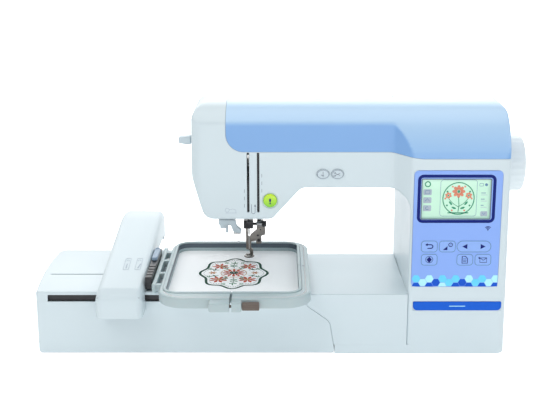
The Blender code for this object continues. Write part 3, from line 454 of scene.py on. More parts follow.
def cotton(name, colour):
    """Woven cotton: threads of 0.5 mm, slubs, a soft sheen and a faint emission that is painted light, so the
    cloth glows though it is no lamp.
    """
    made = Nodes(name)
    weave = weave_height(made, 0.0005)
    slub = made.noise(1.0, 3.0, 0.6, made.stretched((900.0, 120.0, 900.0)))
    mixed = made.math("ADD", made.math("MULTIPLY", weave, 0.6), made.math("MULTIPLY", slub, 0.4))
    base = made.ramp(mixed, [(0.25, shade(colour, 0.9)), (0.75, colour)])
    # the emission strength is painted light: the cloth glows faintly so that it looks brighter
    return made.finish(base, made.spread(slub, 0.82, 0.95), made.bump(mixed, 0.00012, 0.6),
                       Sheen_Weight=0.25, Sheen_Roughness=0.4, Emission_Strength=0.11)


def thread(name, colour):
    """Rayon embroidery thread: twisted filaments with a silky shine."""
    made = Nodes(name)
    twist = made.wave("DIAGONAL", Scale=900.0, Distortion=1.5)
    base = made.ramp(twist, [(0.2, shade(colour, 0.72)), (0.8, colour)])
    shine = made.spread(made.noise(600.0, 2.0), 0.3, 0.45)
    return made.finish(base, shine, made.bump(twist, 0.00006, 0.7), Sheen_Weight=0.3)


def ink(name, colour, rough=0.3, **constants):
    """Screen print: even colour with a faint mottling and its own gloss."""
    made = Nodes(name)
    base = made.ramp(made.noise(260.0, 3.0), [(0.3, shade(colour, 0.95)), (0.7, colour)])
    shine = made.spread(made.noise(500.0, 2.0), rough - 0.04, rough + 0.05)
    return made.finish(base, shine, made.bump(made.noise(1800.0, 2.0), 0.000008, 0.4), **constants)


def gradient_plastic(name, low, high, bottom, top, **constants):
    """Plastic whose colour changes with height between two levels."""
    made = Nodes(name)
    split = made.add("SeparateXYZ")
    made.link(made.place, split.inputs["Vector"])
    level = made.math("DIVIDE", made.math("SUBTRACT", split.outputs["Z"], bottom), top - bottom)
    mottle = made.math("MULTIPLY", made.math("SUBTRACT", made.noise(60.0), 0.5), 0.08)
    base = made.ramp(made.math("ADD", level, mottle), [(0.0, low), (1.0, high)])
    shine = made.spread(made.noise(40.0, 3.0), 0.22, 0.3)
    return made.finish(base, shine, made.bump(made.noise(GRAIN), 0.00002, 0.4), **constants)


def painted_top_light_plastic(name, stops, **constants):
    """Plastic with painted top light: paler where its face leans back, as light from above would make it, and
    darker on upright faces; the stops give the colour by the normal's rise.
    """
    made = Nodes(name)
    split = made.add("SeparateXYZ")
    made.link(made.add("NewGeometry").outputs["Normal"], split.inputs["Vector"])
    base = made.ramp(split.outputs["Z"], stops)
    shine = made.spread(made.noise(35.0, 4.0), 0.27, 0.34)
    return made.finish(base, shine, made.bump(made.noise(GRAIN, 2.0), 0.00002, 0.5), **constants)


CELL = 0.00035  # pitch of the display's cells


def lcd_glass(name, colour):
    """A lit pale panel with a fine grid of cells."""
    made = Nodes(name)
    grid = made.math("MULTIPLY", *[made.wave(direction, Scale=BAND / CELL) for direction in ("X", "Z")])
    base = made.ramp(grid, [(0.0, shade(colour, 0.93)), (0.6, colour)])
    made.link(base, made.shader.inputs["Emission Color"])
    return made.finish(base, made.spread(made.noise(80.0), 0.1, 0.16), Emission_Strength=0.24)


def rubber(name, colour):
    """Matt rubber with a grainy surface."""
    made = Nodes(name)
    base = made.ramp(made.noise(140.0, 3.0), [(0.3, shade(colour, 0.7)), (0.7, shade(colour, 1.25))])
    shine = made.spread(made.noise(300.0), 0.68, 0.85)
    return made.finish(base, shine, made.bump(made.noise(1100.0), 0.00006, 0.6))


PAINT = {
    "casing": plastic("casing", (0.64, 0.735, 0.775), 0.34, Coat_Weight=0.12, Coat_Roughness=0.2),
    "inner": plastic("inner", (0.5, 0.56, 0.6), 0.5, 0.00005),
    "casting": plastic("casting", (0.36, 0.38, 0.4), 0.55, 0.00012, 0.12, 500.0, Metallic=0.6),
    # the blue cover's colour is painted top light: lighter on faces that lean back, darker on upright ones
    "cover": painted_top_light_plastic("blue_cover", [
        (0.01, (0.2, 0.4, 0.74)),
        (0.22, (0.34, 0.55, 0.84)),
        (0.6, (0.42, 0.62, 0.86)),
        (1.0, (0.5, 0.69, 0.88)),
    ], Coat_Weight=0.15, Coat_Roughness=0.15),
    "panel": plastic("panel", (0.25, 0.42, 0.9), 0.3, 0.00001),
    "wheel": plastic("wheel", (0.8, 0.87, 0.9), 0.36),
    "button": plastic("button", (0.6, 0.69, 0.74), 0.36),
    "lever": plastic("lever", (0.28, 0.38, 0.5), 0.38),
    "hoop": plastic("hoop", (0.43, 0.53, 0.55), 0.36, 0.00004, Subsurface_Weight=0.05),
    # dark plastic for the painted shade on the hoop ring's inner wall
    "shade": plastic("shade", (0.085, 0.115, 0.145), 0.42),
    "black": plastic("black", (0.018, 0.018, 0.022), 0.36, 0.00004, 0.2),
    "knob": plastic("knob", (0.16, 0.125, 0.105), 0.34, 0.00004, 0.15),
    "clear": plastic("clear", (0.78, 0.84, 0.87), 0.1, 0.000005, Transmission_Weight=0.55, IOR=1.49),
    "rubber": rubber("rubber", (0.03, 0.03, 0.032)),
    "steel": steel("steel", (0.62, 0.62, 0.61)),
    "turned": steel("turned_steel", (0.58, 0.58, 0.58), 0.25, (3500.0, 90.0, 90.0)),
    "foot": steel("foot_steel", (0.24, 0.225, 0.21), 0.34, (300.0, 300.0, 1200.0), 0.00003),
    "gear": steel("motor_steel", (0.42, 0.43, 0.44), 0.34, (900.0, 120.0, 120.0)),
    "badge": ink("badge", (0.005, 0.115, 0.66), 0.35, Specular_IOR_Level=0.2),
    "navy": ink("navy", (0.003, 0.014, 0.175), 0.35, Specular_IOR_Level=0.15),
    "bezel": ink("bezel", (0.11, 0.15, 0.22), 0.3),
    "screen": lcd_glass("screen", (0.5, 0.76, 0.6)),
    "deep": ink("deep_blue", (0.006, 0.095, 0.62), 0.35, Specular_IOR_Level=0.2),
    "cyan": ink("cyan", (0.13, 0.68, 0.98)),
    "pale": ink("pale_cyan", (0.46, 0.9, 0.98)),
    "key": ink("key_face", (0.27, 0.45, 0.91), 0.34),
    "mark": ink("mark", (0.004, 0.012, 0.16), 0.35, Specular_IOR_Level=0.2),
    "grey_mark": ink("grey_mark", (0.18, 0.22, 0.28), 0.4),
    "faint_mark": ink("faint_mark", (0.42, 0.5, 0.58), 0.4),
    "lcd_green": ink("lcd_green", (0.03, 0.3, 0.16), 0.2),
    "lcd_coral": ink("lcd_coral", (0.75, 0.25, 0.15), 0.2),
    "lcd_icon": ink("lcd_icon", (0.12, 0.26, 0.42), 0.2),
    "fabric": cotton("fabric", (0.94, 0.965, 0.98)),
    "green": thread("thread_green", (0.01, 0.105, 0.06)),
    "leaf": thread("thread_leaf", (0.1, 0.36, 0.17)),
    "coral": thread("thread_coral", (0.72, 0.13, 0.06)),
    "sand": thread("thread_sand", (0.75, 0.42, 0.2)),
}
PAINT["go"] = gradient_plastic("go_button", (0.2, 0.62, 0.02), (0.62, 0.88, 0.04), 0.17, 0.185,
                               Coat_Weight=0.3, Coat_Roughness=0.1)

# ---------------------------------------------------------------- machine casing

FORM_LOW = TRAY_TOP - 0.006  # the form is made longer and cut off level, so that its lower edge stays sharp
FRONT_OUTLINE = [  # head, arm and column seen from the front, anticlockwise
    (-0.09, HEAD_BOTTOM, 0.014),
    (-0.015, HEAD_BOTTOM, 0.007),
    (0.018, ARM_BOTTOM, 0.012),
    (COLUMN_LEFT, ARM_BOTTOM, 0.024),
    (COLUMN_LEFT, FORM_LOW, 0.0),
    (COLUMN_RIGHT, FORM_LOW, 0.0),
    (0.2455, TOP, 0.01),
    (-0.1035, TOP, 0.016),
    (HEAD_LEFT, 0.205, 0.03),
]
SIDE_OUTLINE = [  # seen from the handwheel, front to the left
    (COLUMN_FRONT, FORM_LOW, 0.0),
    (HOUSING_REAR, FORM_LOW, 0.0),
    (HOUSING_REAR, TOP, 0.08),
    (COLUMN_FRONT, TOP, 0.058),
]
PLAN_OUTLINE = [
    (HEAD_LEFT, HEAD_FRONT, 0.012),
    (0.12, HEAD_FRONT, 0.008),
    (0.139, COLUMN_FRONT, 0.01),
    (COLUMN_RIGHT, COLUMN_FRONT, 0.01),
    (COLUMN_RIGHT, HOUSING_REAR, 0.02),
    (HEAD_LEFT, HOUSING_REAR, 0.025),
]
COVER_OUTLINE = [  # the blue cover's edge seen from the front
    (-0.066, 0.2325, 0.02),
    (0.116, 0.2325, 0.03),
    (0.15, 0.228, 0.03),
    (0.3, 0.228, 0.0),
    (0.3, 0.32, 0.0),
    (-0.066, 0.32, 0.0),
]
COVER_REAR = -0.014
COVER_WALL = 0.0024
WALL = 0.003
WELL_WALL = 0.0025
FACE_REAR = -0.0797  # bottom of the recess for the panel
HOLE_REACH = (-0.08, -0.055)  # along Y, of tools for holes in the head's front
HANDLE_BAY = ((-0.045, 0.008, 0.258), (0.125, 0.05, 0.3))
SPOOL_BAY = ((0.02, -0.052, 0.24), (0.11, -0.018, 0.3))
WINDER_BAY = ((0.185, -0.045, 0.255), (0.225, -0.018, 0.3))
BAYS = (HANDLE_BAY, SPOOL_BAY, WINDER_BAY)
PANEL_LOW = (0.141, 0.082)  # control panel, across and up
PANEL_HIGH = (0.238, 0.2155)
SCREEN_LOW = (0.15, 0.1613)
SCREEN_HIGH = (0.225, 0.2055)
BADGE_LOW = (0.144, 0.0538)
BADGE_HIGH = (0.2435, 0.0641)
START_BUTTON = (-0.017, 0.1776)
SMALL_BUTTONS = {"needle_position_button": (0.0416, 0.208), "thread_cutter_button": (0.0577, 0.208)}
THREAD_SLOTS = (-0.0414, -0.0302)
THREADER = (-0.021, 0.238)
THREADER_TRAVEL = 0.028
FORM_VOXEL = 0.0016


def machine_form(name, wall=0.0):
    """The whole form of head, arm and column, moved inwards by a wall."""
    form = prism(name, rounded(inset(FRONT_OUTLINE, wall)), -FAR, FAR, "Y")
    side = prism("side", rounded(inset(SIDE_OUTLINE, wall), 28), -FAR, FAR, "X")
    plan = prism("plan", rounded(inset(PLAN_OUTLINE, wall)), -FAR, FAR, "Z")
    return keep(form, side, plan)


def copied(obj, name):
    twin = bpy.data.objects.new(name, obj.data.copy())
    scene.collection.objects.link(twin)
    return twin


def cover_zone(name, grow=0.0):
    return prism(name, rounded(inset(COVER_OUTLINE, -grow)), -FAR, COVER_REAR + grow, "Y")


def casing_cavity():
    """The room inside the casing: its floor is open, and the wells in its top stay walled."""
    cavity = cut(machine_form("cavity", WALL), cover_zone("limit", WALL))
    join(cavity, machine_form("below_cover", COVER_WALL + GAP + WALL))
    cut(cavity, *[box("well", *grown(*bay, WELL_WALL)) for bay in BAYS])
    return join(cavity, box("open_floor", (0.141, -0.078, 0.0), (0.246, 0.084, 0.02)))


def front_openings():
    """Tools for the panel, screen, badge, buttons and thread slots in the front."""
    tools = [
        prism("panel_recess", rounded(rectangle(*grown(PANEL_LOW, PANEL_HIGH, GAP), 0.006)),
              -FAR, FACE_REAR, "Y"),
        box("screen_window", (SCREEN_LOW[0] - 0.0035, -FAR, SCREEN_LOW[1] - 0.0035),
            (SCREEN_HIGH[0] + 0.0035, -0.07, 0.209)),
        prism("badge_recess", rounded(rectangle(*grown(BADGE_LOW, BADGE_HIGH, GAP), 0.0015)),
              -FAR, -0.08, "Y"),
        prism("start_hole", oval(START_BUTTON, (0.0078, 0.0078), 64), *HOLE_REACH, "Y"),
        soft_prism("start_dish", about(START_BUTTON, 0.0092, 0.0092, 0.00919),
                   -0.08, HEAD_FRONT + 0.0007, "Y", edges=(0, 0.0006)),
    ]
    for place in SMALL_BUTTONS.values():
        tools.append(prism("button_hole", oval(place, (0.0073, 0.0058)), *HOLE_REACH, "Y"))
    for across in THREAD_SLOTS:
        sides = rectangle((across - 0.0014, 0.1637), (across + 0.0014, 0.2321), 0.0013)
        tools.append(prism("thread_slot", rounded(sides), *HOLE_REACH, "Y"))
    return tools


def side_openings():
    """Tools for the threader slot, the head's underside, the lamp, the shaft, the switch and the inlet."""
    along, up = THREADER
    return [
        box("threader_slot", (-0.12, along - 0.0035, up - THREADER_TRAVEL - 0.0055),
            (-0.098, along + 0.0035, up + 0.0055)),
        box("head_opening", (-0.088, -0.004, 0.15), (-0.018, 0.078, 0.17)),
        box("lamp_window", (-0.0603, -0.0403, 0.15), (-0.0297, -0.0197, 0.17)),
        rod("shaft_hole", (0.25, SHAFT_Y, SHAFT_Z), 0.04, 0.0055, "X"),
        box("switch_hole", (0.24, 0.028, 0.052), (0.27, 0.048, 0.068)),
        box("inlet_hole", (0.24, 0.026, 0.024), (0.27, 0.05, 0.042)),
        box("shaft_way", (0.13, 0.01, 0.022), (0.145, 0.042, 0.056)),
    ]


def vent_slots():
    """Tools for the cooling slots low on the rear of the column."""
    tools = []
    for step in range(8):
        sides = rectangle((0.17 + 0.0065 * step, 0.04), (0.1725 + 0.0065 * step, 0.07), 0.00124)
        tools.append(prism("vent", rounded(sides, 5), HOUSING_REAR - 0.0012, HOUSING_REAR + 0.01, "Y"))
    return tools


def casing():
    """Front and rear housings and the hinged cover, all cut from one moulded form."""
    form = moulded(machine_form("form"), FORM_VOXEL, 4)
    cavity = casing_cavity()
    front = copied(form, "front_housing_shell")
    rear = copied(form, "rear_housing_shell")
    cover = copied(form, "top_cover_shell")
    bpy.data.objects.remove(form)
    recess = cut(cover_zone("recess"), machine_form("under_cover", COVER_WALL + GAP))
    for half, low, high in ((front, -FAR, HOUSING_SPLIT), (rear, HOUSING_SPLIT + GAP, FAR)):
        keep(half, box("half", (-FAR, low, TRAY_TOP + GAP), (FAR, high, FAR)))
        tools = [copied(cavity, "room"), copied(recess, "seat"), *side_openings()]
        tools += [box("bay", *bay) for bay in BAYS]
        cut(half, *tools)
    cut(front, *front_openings())
    cut(rear, *vent_slots())
    keep(cover, prism("edge", rounded(inset(COVER_OUTLINE, GAP)), -FAR, COVER_REAR - GAP, "Y"))
    cut(cover, machine_form("inside", COVER_WALL))
    bpy.data.objects.remove(cavity)
    bpy.data.objects.remove(recess)
    for obj, paint, body, slot, node in (
        (front, "casing", "machine", "casing", "front_housing"),
        (rear, "casing", "machine", "casing", "rear_housing"),
        (cover, "cover", "cover", "blue_cover", "top_cover"),
    ):
        obj.data.materials.clear()
        obj.data.materials.append(PAINT[paint])
        ready(obj, body, slot, node, angle=38)


# ---------------------------------------------------------------- flat prints, drawn as thin raised shapes

INK = 0.00012  # thickness of a print


class Print:
    """Flat shapes of one colour on a plane: lines, patches and discs, each a thin closed solid."""

    def __init__(self, name, paint, to_world):
        self.name = name
        self.paint = paint
        self.to_world = to_world  # turns (across, up, out) into a point in datum sizes
        self.origin = (0.0, 0.0)
        self.bm = bmesh.new()

    def at(self, place=(0.0, 0.0)):
        """Sets the point that the shapes after this are measured from."""
        self.origin = place

    def moved(self, points):
        return [(p[0] + self.origin[0], p[1] + self.origin[1]) for p in points]

    def patch(self, outline, thick=INK):
        """A filled outline of (across, up) points."""
        points = self.moved(outline)
        loft(self.bm, [[self.to_world(*p, out) for p in points] for out in (0.0, thick)])

    def line(self, points, width, closed=False, level=0.0):
        """A stroke of even width along points."""
        points = [Vector(p) for p in self.moved(points)]
        count = len(points)
        steps = range(count if closed else count - 1)
        sides = []
        for index, point in enumerate(points):
            before = points[index - 1] if closed or index else point
            after = points[(index + 1) % count] if closed or index < count - 1 else point
            heading = (after - before).normalized()
            normal = Vector((-heading.y, heading.x)) * width / 2
            sides.append((point + normal, point - normal))
        rings = []
        for left, right in sides:
            rings.append([self.bm.verts.new(self.to_world(*p, level + out))
                          for p, out in ((left, 0.0), (right, 0.0), (right, INK), (left, INK))])
        for step in steps:
            one, two = rings[step], rings[(step + 1) % count]
            for side in range(4):
                following = (side + 1) % 4
                self.bm.faces.new((one[side], one[following], two[following], two[side]))
        if not closed:
            self.bm.faces.new(rings[0])
            self.bm.faces.new(rings[-1])

    def frame(self, low, high, radius, width, level=0.0):
        self.line(rounded(rectangle(low, high, radius), 6), width, closed=True, level=level)

    def disc(self, place, radii):
        self.patch(oval(place, radii, 28))

    def ring(self, place, radii, width, steps=32):
        self.line(oval(place, radii, steps), width, closed=True)

    def done(self, body, slot):
        obj = link_mesh(self.name, self.bm, self.paint)
        return ready(obj, body, slot)


def on_front(depth):
    """Places shapes on a plane that faces the person who sews, at a depth along Y."""
    return lambda across, up, out: Vector((across, depth - out, up))


def on_top(height):
    """Places shapes on a level plane."""
    return lambda across, along, out: Vector((across, along, height + out))


def arc_points(centre, radius, start, end, steps=12):
    angles = [math.radians(start + (end - start) * step / steps) for step in range(steps + 1)]
    return [(centre[0] + radius * math.cos(a), centre[1] + radius * math.sin(a)) for a in angles]


# ---------------------------------------------------------------- control panel

PANEL_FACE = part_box("control_panel")[0].y
BADGE_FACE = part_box("badge_plate")[0].y
NAVY_LOW = (0.1452, 0.1567)  # outside of the dark frame round the screen
NAVY_HIGH = (0.2305, 0.2108)
KEY_SIZE = (0.0176, 0.0126)
KEY_THICK = 0.0002
RADIO_SIGN = (0.224, 0.148)
KEYS = {  # middles of the square keys
    "back": (0.1599, 0.1292),
    "speed": (0.1799, 0.1292),
    "thread_key": (0.1603, 0.1138),
    "page": (0.2, 0.1138),
    "send": (0.2202, 0.1138),
}
WIDE_KEY = ((0.1907, 0.1229), (0.2283, 0.1355))
HEX_PITCH = 0.0148  # across, between the hexagons of a row
HEX_RADIUS = 0.0048
HEX_TOP = 0.0914
HEX_FALL = 0.0044
HEX_ROWS = (  # where each row starts, and its colours
    (0.1464, "cyan pale cyan cyan pale cyan pale"),
    (0.1538, "pale deep cyan deep cyan pale"),
    (0.1464, "deep deep pale deep deep deep deep"),
)


def panel_plate():
    plate = soft_prism("panel_overlay", rectangle(PANEL_LOW, PANEL_HIGH, 0.0045), PANEL_FACE, -0.08, "Y",
                       "panel", edges=(0.0004, 0.0), steps=3)
    window = rounded(rectangle(*grown(SCREEN_LOW, SCREEN_HIGH, 0.0012), 0.0016), 5)
    cut(plate, prism("window", window, -FAR, FAR, "Y"))
    ready(plate, "machine", "panel", "control_panel")


def frame_and_bezel():
    navy = Print("screen_surround", "navy", on_front(PANEL_FACE))
    navy.frame(*grown(NAVY_LOW, NAVY_HIGH, -0.0014), 0.0046, 0.0034)
    navy.done("machine", "panel")
    rim = Print("screen_bezel", "bezel", on_front(PANEL_FACE))
    rim.frame(*grown(SCREEN_LOW, SCREEN_HIGH, 0.0006), 0.0015, 0.0011)
    rim.done("machine", "panel")


def key_print():
    outline = Print("key_outlines", "lcd_icon", on_front(PANEL_FACE))
    face = Print("key_faces", "key", on_front(PANEL_FACE))
    half = Vector(KEY_SIZE) / 2
    keys = [(Vector(place) - half, Vector(place) + half, 0.0034, 6) for place in KEYS.values()]
    for low, high, radius, steps in (*keys, (*WIDE_KEY, 0.0062, 8)):
        outline.frame(low, high, radius, 0.00055, level=KEY_THICK)
        face.patch(rounded(rectangle(low, high, radius), steps), KEY_THICK)
    face.done("machine", "panel")
    outline.done("machine", "panel")


def key_marks():
    """Generic signs: go back, speed, thread, page, send, arrows and radio waves."""
    sign = Print("key_signs", "mark", on_front(PANEL_FACE - KEY_THICK))
    sign.at(KEYS["back"])
    sign.line([(-0.0028, 0.0021), (0.0018, 0.0021)]
              + arc_points((0.0018, 0), 0.0021, 90, -90) + [(-0.002, -0.0021)], 0.0011)
    sign.patch([(-0.0046, 0.0021), (-0.002, 0.0004), (-0.002, 0.0038)])
    sign.at(KEYS["speed"])
    sign.patch([(-0.0048, -0.004), (0.0002, -0.004), (0.0002, 0.0004)])
    sign.ring((0.0036, 0.002), (0.0021, 0.0021), 0.0008)
    sign.patch([(0.0032, 0.0016), (0.0041, 0.0016), (0.0044, 0.003)])
    sign.at(KEYS["thread_key"])
    sign.patch(rounded([(-0.003, 0, 0.0006), (0, -0.0036, 0.0006), (0.003, 0, 0.0006),
                        (0, 0.0036, 0.0006)], 3))
    sign.ring((0, 0.0002), (0.004, 0.0038), 0.0005)
    sign.at(KEYS["page"])
    sign.line([(-0.003, -0.004), (0.003, -0.004), (0.003, 0.0016),
               (0.0006, 0.004), (-0.003, 0.004)], 0.0009, closed=True)
    for step in range(3):
        up = -0.0022 + 0.0016 * step
        sign.line([(-0.0018, up), (0.0018, up)], 0.0005)
    sign.at(KEYS["send"])
    sign.line([(-0.0034, -0.003), (0.0042, -0.003), (0.0042, 0.0022),
               (-0.0034, 0.0022)], 0.0007, closed=True)
    sign.line([(-0.0034, 0.0022), (0.0004, -0.0006), (0.0042, 0.0022)], 0.0006)
    sign.patch([(-0.0056, 0.002), (-0.003, 0.0006), (-0.004, 0.0034)])
    low, high = WIDE_KEY
    for across, way in ((low[0] + 0.0088, -1), (high[0] - 0.0088, 1)):
        sign.at((across, (low[1] + high[1]) / 2))
        sign.patch([(way * 0.0029, 0), (-way * 0.0026, 0.0029), (-way * 0.0026, -0.0029)][::way])
    sign.done("machine", "panel")
    waves = Print("radio_sign", "mark", on_front(PANEL_FACE))
    waves.at(RADIO_SIGN)
    for radius in (0.0014, 0.0028, 0.0042):
        waves.line(arc_points((0, 0), radius, 135, 45, 8), 0.0008)
    waves.disc((0, 0.0002), (0.0006, 0.0006))
    waves.done("machine", "panel")


def clipped(outline, low, high):
    """A convex outline limited to a rectangle."""
    for axis, limit, sign in ((0, low[0], 1), (0, high[0], -1), (1, low[1], 1), (1, high[1], -1)):
        kept = []
        for one, two in zip(outline, outline[1:] + outline[:1]):
            inside_one = sign * (one[axis] - limit) >= 0
            if inside_one:
                kept.append(one)
            if inside_one != (sign * (two[axis] - limit) >= 0):
                kept.append(one + (two - one) * ((limit - one[axis]) / (two[axis] - one[axis])))
        outline = kept
    return outline


def hexagon_band():
    prints = {colour: Print(f"hexagons_{colour}", colour, on_front(PANEL_FACE))
              for colour in ("deep", "cyan", "pale")}
    low = (PANEL_LOW[0] + 0.0004, PANEL_LOW[1] + 0.0004)
    high = (PANEL_HIGH[0] - 0.0004, PANEL_HIGH[1])
    for row, (start, colours) in enumerate(HEX_ROWS):
        for step, colour in enumerate(colours.split()):
            middle = (start + HEX_PITCH * step, HEX_TOP - HEX_FALL * row)
            inside = clipped(oval(middle, (HEX_RADIUS, HEX_RADIUS), 6), low, high)
            if len(inside) > 2:
                prints[colour].patch(inside)
    for made in prints.values():
        made.done("machine", "panel")


def badge():
    sides = rectangle(BADGE_LOW, BADGE_HIGH, 0.0015)
    sides[0] = (*sides[0][:2], 0.005)
    sides[1] = (*sides[1][:2], 0.005)
    plate = soft_prism("badge_bar", sides, BADGE_FACE, -0.0803, "Y", "badge", edges=(0.0004, 0.0), steps=3)
    ready(plate, "machine", "badge", "badge_plate")
    line = Print("badge_line", "pale", on_front(BADGE_FACE))
    middle = (Vector(BADGE_LOW) + Vector(BADGE_HIGH)) / 2
    line.patch(rounded(about(middle, 0.009, 0.0004, 0.00039), 5))
    line.done("machine", "badge")


# ---------------------------------------------------------------- buttons and prints on the head

def push_button(name, node, place, radii, paint, slot, body):
    """A domed oval button in its hole, with its flange behind."""
    rings = []
    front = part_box(node)[0].y
    for shrink, depth in ((1.0, -0.0592), (1.0, front + 0.0009), (0.97, front + 0.0004),
                          (0.9, front + 0.0001), (0.7, front + 0.00002), (0.35, front)):
        outline = oval(place, [radius * shrink for radius in radii], 56)
        rings.append([Vector((p.x, depth, p.y)) for p in outline])
    button = lofted(name, rings, paint)
    flange = [radius + 0.0005 for radius in radii]
    join(button, prism("flange", oval(place, flange, 56), -0.061, -0.0591, "Y"))
    ready(button, body, slot, node)
    return front


def buttons():
    front = push_button("start_button_cap", "start_stop_button", START_BUTTON, (0.0075, 0.0075), "go",
                        "go_button", "start_button")
    mark = Print("start_sign", "mark", on_front(front))
    mark.at(START_BUTTON)
    mark.patch(oval((0, 0.0008), (0.0011, 0.0022), 20))
    mark.disc((0, -0.0028), (0.0009, 0.0009))
    mark.done("start_button", "go_button")
    for (node, place), body in zip(SMALL_BUTTONS.items(), ("position_button", "cutter_button")):
        front = push_button(f"{body}_cap", node, place, (0.007, 0.0055), "button", "button", body)
        sign = Print(f"{body}_sign", "grey_mark", on_front(front))
        sign.at(place)
        sign.ring((0, 0), (0.0063, 0.0048), 0.0004)
        if body == "position_button":
            sign.line([(0, 0.003), (0, -0.0028)], 0.0006)
            sign.line([(-0.0024, -0.0006), (-0.0006, -0.0014), (0.0012, -0.0014)], 0.0005)
        else:
            sign.line([(-0.003, 0.0014), (0.0028, -0.0012)], 0.0005)
            sign.line([(-0.003, -0.0014), (0.0028, 0.0012)], 0.0005)
            sign.ring((-0.0034, 0.0018), (0.001, 0.0008), 0.0004, steps=14)
            sign.ring((-0.0034, -0.0018), (0.001, 0.0008), 0.0004, steps=14)
        sign.done(body, "button")


def slot_liners():
    """Black guides behind the thread slots; the upper part of the left one is open for the take-up lever."""
    left, right = THREAD_SLOTS
    behind = HEAD_FRONT + 0.0032
    for name, low, high in (
        ("right_slot_liner", (right - 0.0042, behind, 0.1605), (right + 0.0042, behind + 0.0008, 0.234)),
        ("left_slot_liner", (left - 0.0042, behind, 0.1605), (left + 0.0042, behind + 0.0008, 0.199)),
        ("left_slot_wall_1", (left - 0.0026, behind, 0.199), (left - 0.0021, -0.04, 0.234)),
        ("left_slot_wall_2", (left + 0.0021, behind, 0.199), (left + 0.0026, -0.04, 0.234)),
    ):
        ready(box(name, low, high, "black"), "machine", "black")


def head_print():
    """Threading arrow between the slots, dashes beside the left one and a small threading diagram."""
    left, right = THREAD_SLOTS
    middle = (left + right) / 2
    arrow = Print("threading_arrows", "grey_mark", on_front(HEAD_FRONT))
    arrow.line([(middle - 0.002, 0.1732), (middle - 0.002, 0.1644)]
               + arc_points((middle, 0.1644), 0.002, 180, 360, 10) + [(middle + 0.002, 0.1707)], 0.0005)
    arrow.patch([(middle + 0.002, 0.1734), (middle + 0.0008, 0.1707), (middle + 0.0032, 0.1707)])
    for number in range(3):
        fall = 0.0085 * number
        arrow.line([(left - 0.0042, 0.1905 - fall), (left - 0.0042, 0.1865 - fall)], 0.0004)
        arrow.line([(right + 0.004, 0.208 - fall), (right + 0.004, 0.204 - fall)], 0.0004)
    arrow.done("machine", "casing")
    diagram = Print("threading_diagram", "faint_mark", on_front(HEAD_FRONT))
    diagram.at((-0.0605, 0.1665))
    diagram.ring((-0.0045, 0), (0.0022, 0.0022), 0.0004, steps=20)
    diagram.line([(-0.0023, 0.0004), (0.002, 0.0014), (0.0052, 0.0002)], 0.0004)
    diagram.line([(-0.0062, -0.0032), (0.006, -0.0032)], 0.0004)
    diagram.line([(0.0052, 0.0002), (0.0052, -0.0032)], 0.0004)
    diagram.done("machine", "casing")


# ---------------------------------------------------------------- bed, base and embroidery unit

BED_BLOCK_LEFT = 0.0225
BED_BLOCK = [  # front of the bed beside the unit, seen from the front, anticlockwise
    (0.056, FORM_LOW, 0.0),
    (COLUMN_LEFT + 0.005, FORM_LOW, 0.0),
    (COLUMN_LEFT + 0.005, BED_TOP, 0.0),
    (BED_BLOCK_LEFT, BED_TOP, 0.0),
    (BED_BLOCK_LEFT, 0.06, 0.01),
    (0.05, 0.04, 0.012),
]
ARM_LOW = 0.016
UNIT_PLAN = [
    (-0.2812, COLUMN_FRONT, 0.004),
    (0.0555, COLUMN_FRONT, 0.0),
    (0.0555, -0.0245, 0.0),
    (-0.1105, -0.0245, 0.0),
    (-0.1105, 0.081, 0.0),
    (-0.2845, 0.081, 0.01),
    (-0.287, 0.04, 0.08),
    (-0.287, -0.005, 0.08),
    (-0.2845, -0.045, 0.08),
]
UNIT_SPLIT = 0.0637
UNIT_GAP = 0.00012  # between the unit and the bed beside it
SLOT_LEFT = -0.268
SLOT_RIGHT = -0.0785
SLOT_HIGH = 0.072
GROOVE_Y = -0.018
GROOVE_LEFT = -0.277
GROOVE_RIGHT = -0.115
FEET = {
    "foot_front_right": (0.225, -0.06),
    "foot_rear_right": (0.225, 0.065),
    "foot_rear_left": (-0.085, 0.06),
    "unit_foot_front": (-0.25, -0.06),
    "unit_foot_rear": (-0.25, 0.06),
}


def bed():
    """The bed beside the unit and its free arm, as one open shell with softened edges."""
    block = soft_prism("bed_shell", BED_BLOCK, COLUMN_FRONT + 0.0001, ARM_FRONT + 0.006, "Y", "casing",
                       edges=(0.0012, 0.0))
    arm = soft_prism("arm", rectangle((ARM_FRONT, ARM_LOW), (BED_REAR, BED_TOP), 0.003), ARM_LEFT,
                     COLUMN_LEFT - 0.0005, "X", edges=(0.003, 0.0))
    join(block, arm)
    keep(block, box("bounds", (-FAR, -FAR, TRAY_TOP + GAP), (COLUMN_LEFT - 0.0001, FAR, FAR)))
    cut(block,
        prism("hollow", rounded(inset(BED_BLOCK, 0.0028)), COLUMN_FRONT + 0.0028, ARM_FRONT + 0.02, "Y"),
        box("floor", (0.06, COLUMN_FRONT + 0.0028, 0.0), (0.1347, ARM_FRONT + 0.02, 0.03)),
        box("arm_hollow", (ARM_LEFT + 0.0028, ARM_FRONT + 0.0028, 0.0), (0.1347, BED_REAR - 0.0028, 0.0695)),
        box("plate_opening", (-0.08, -0.0205, 0.06), (-0.008, 0.052, 0.08)),
        box("shaft_way", (0.13, 0.000, 0.02), (0.145, 0.05, 0.06)))
    ready(block, "machine", "casing", "bed_cover")


TRAY_OUTLINE = [
    (0.0562, COLUMN_FRONT, 0.0),
    (COLUMN_RIGHT, COLUMN_FRONT, 0.01),
    (COLUMN_RIGHT, HOUSING_REAR, 0.02),
    (0.0562, HOUSING_REAR, 0.006),
]


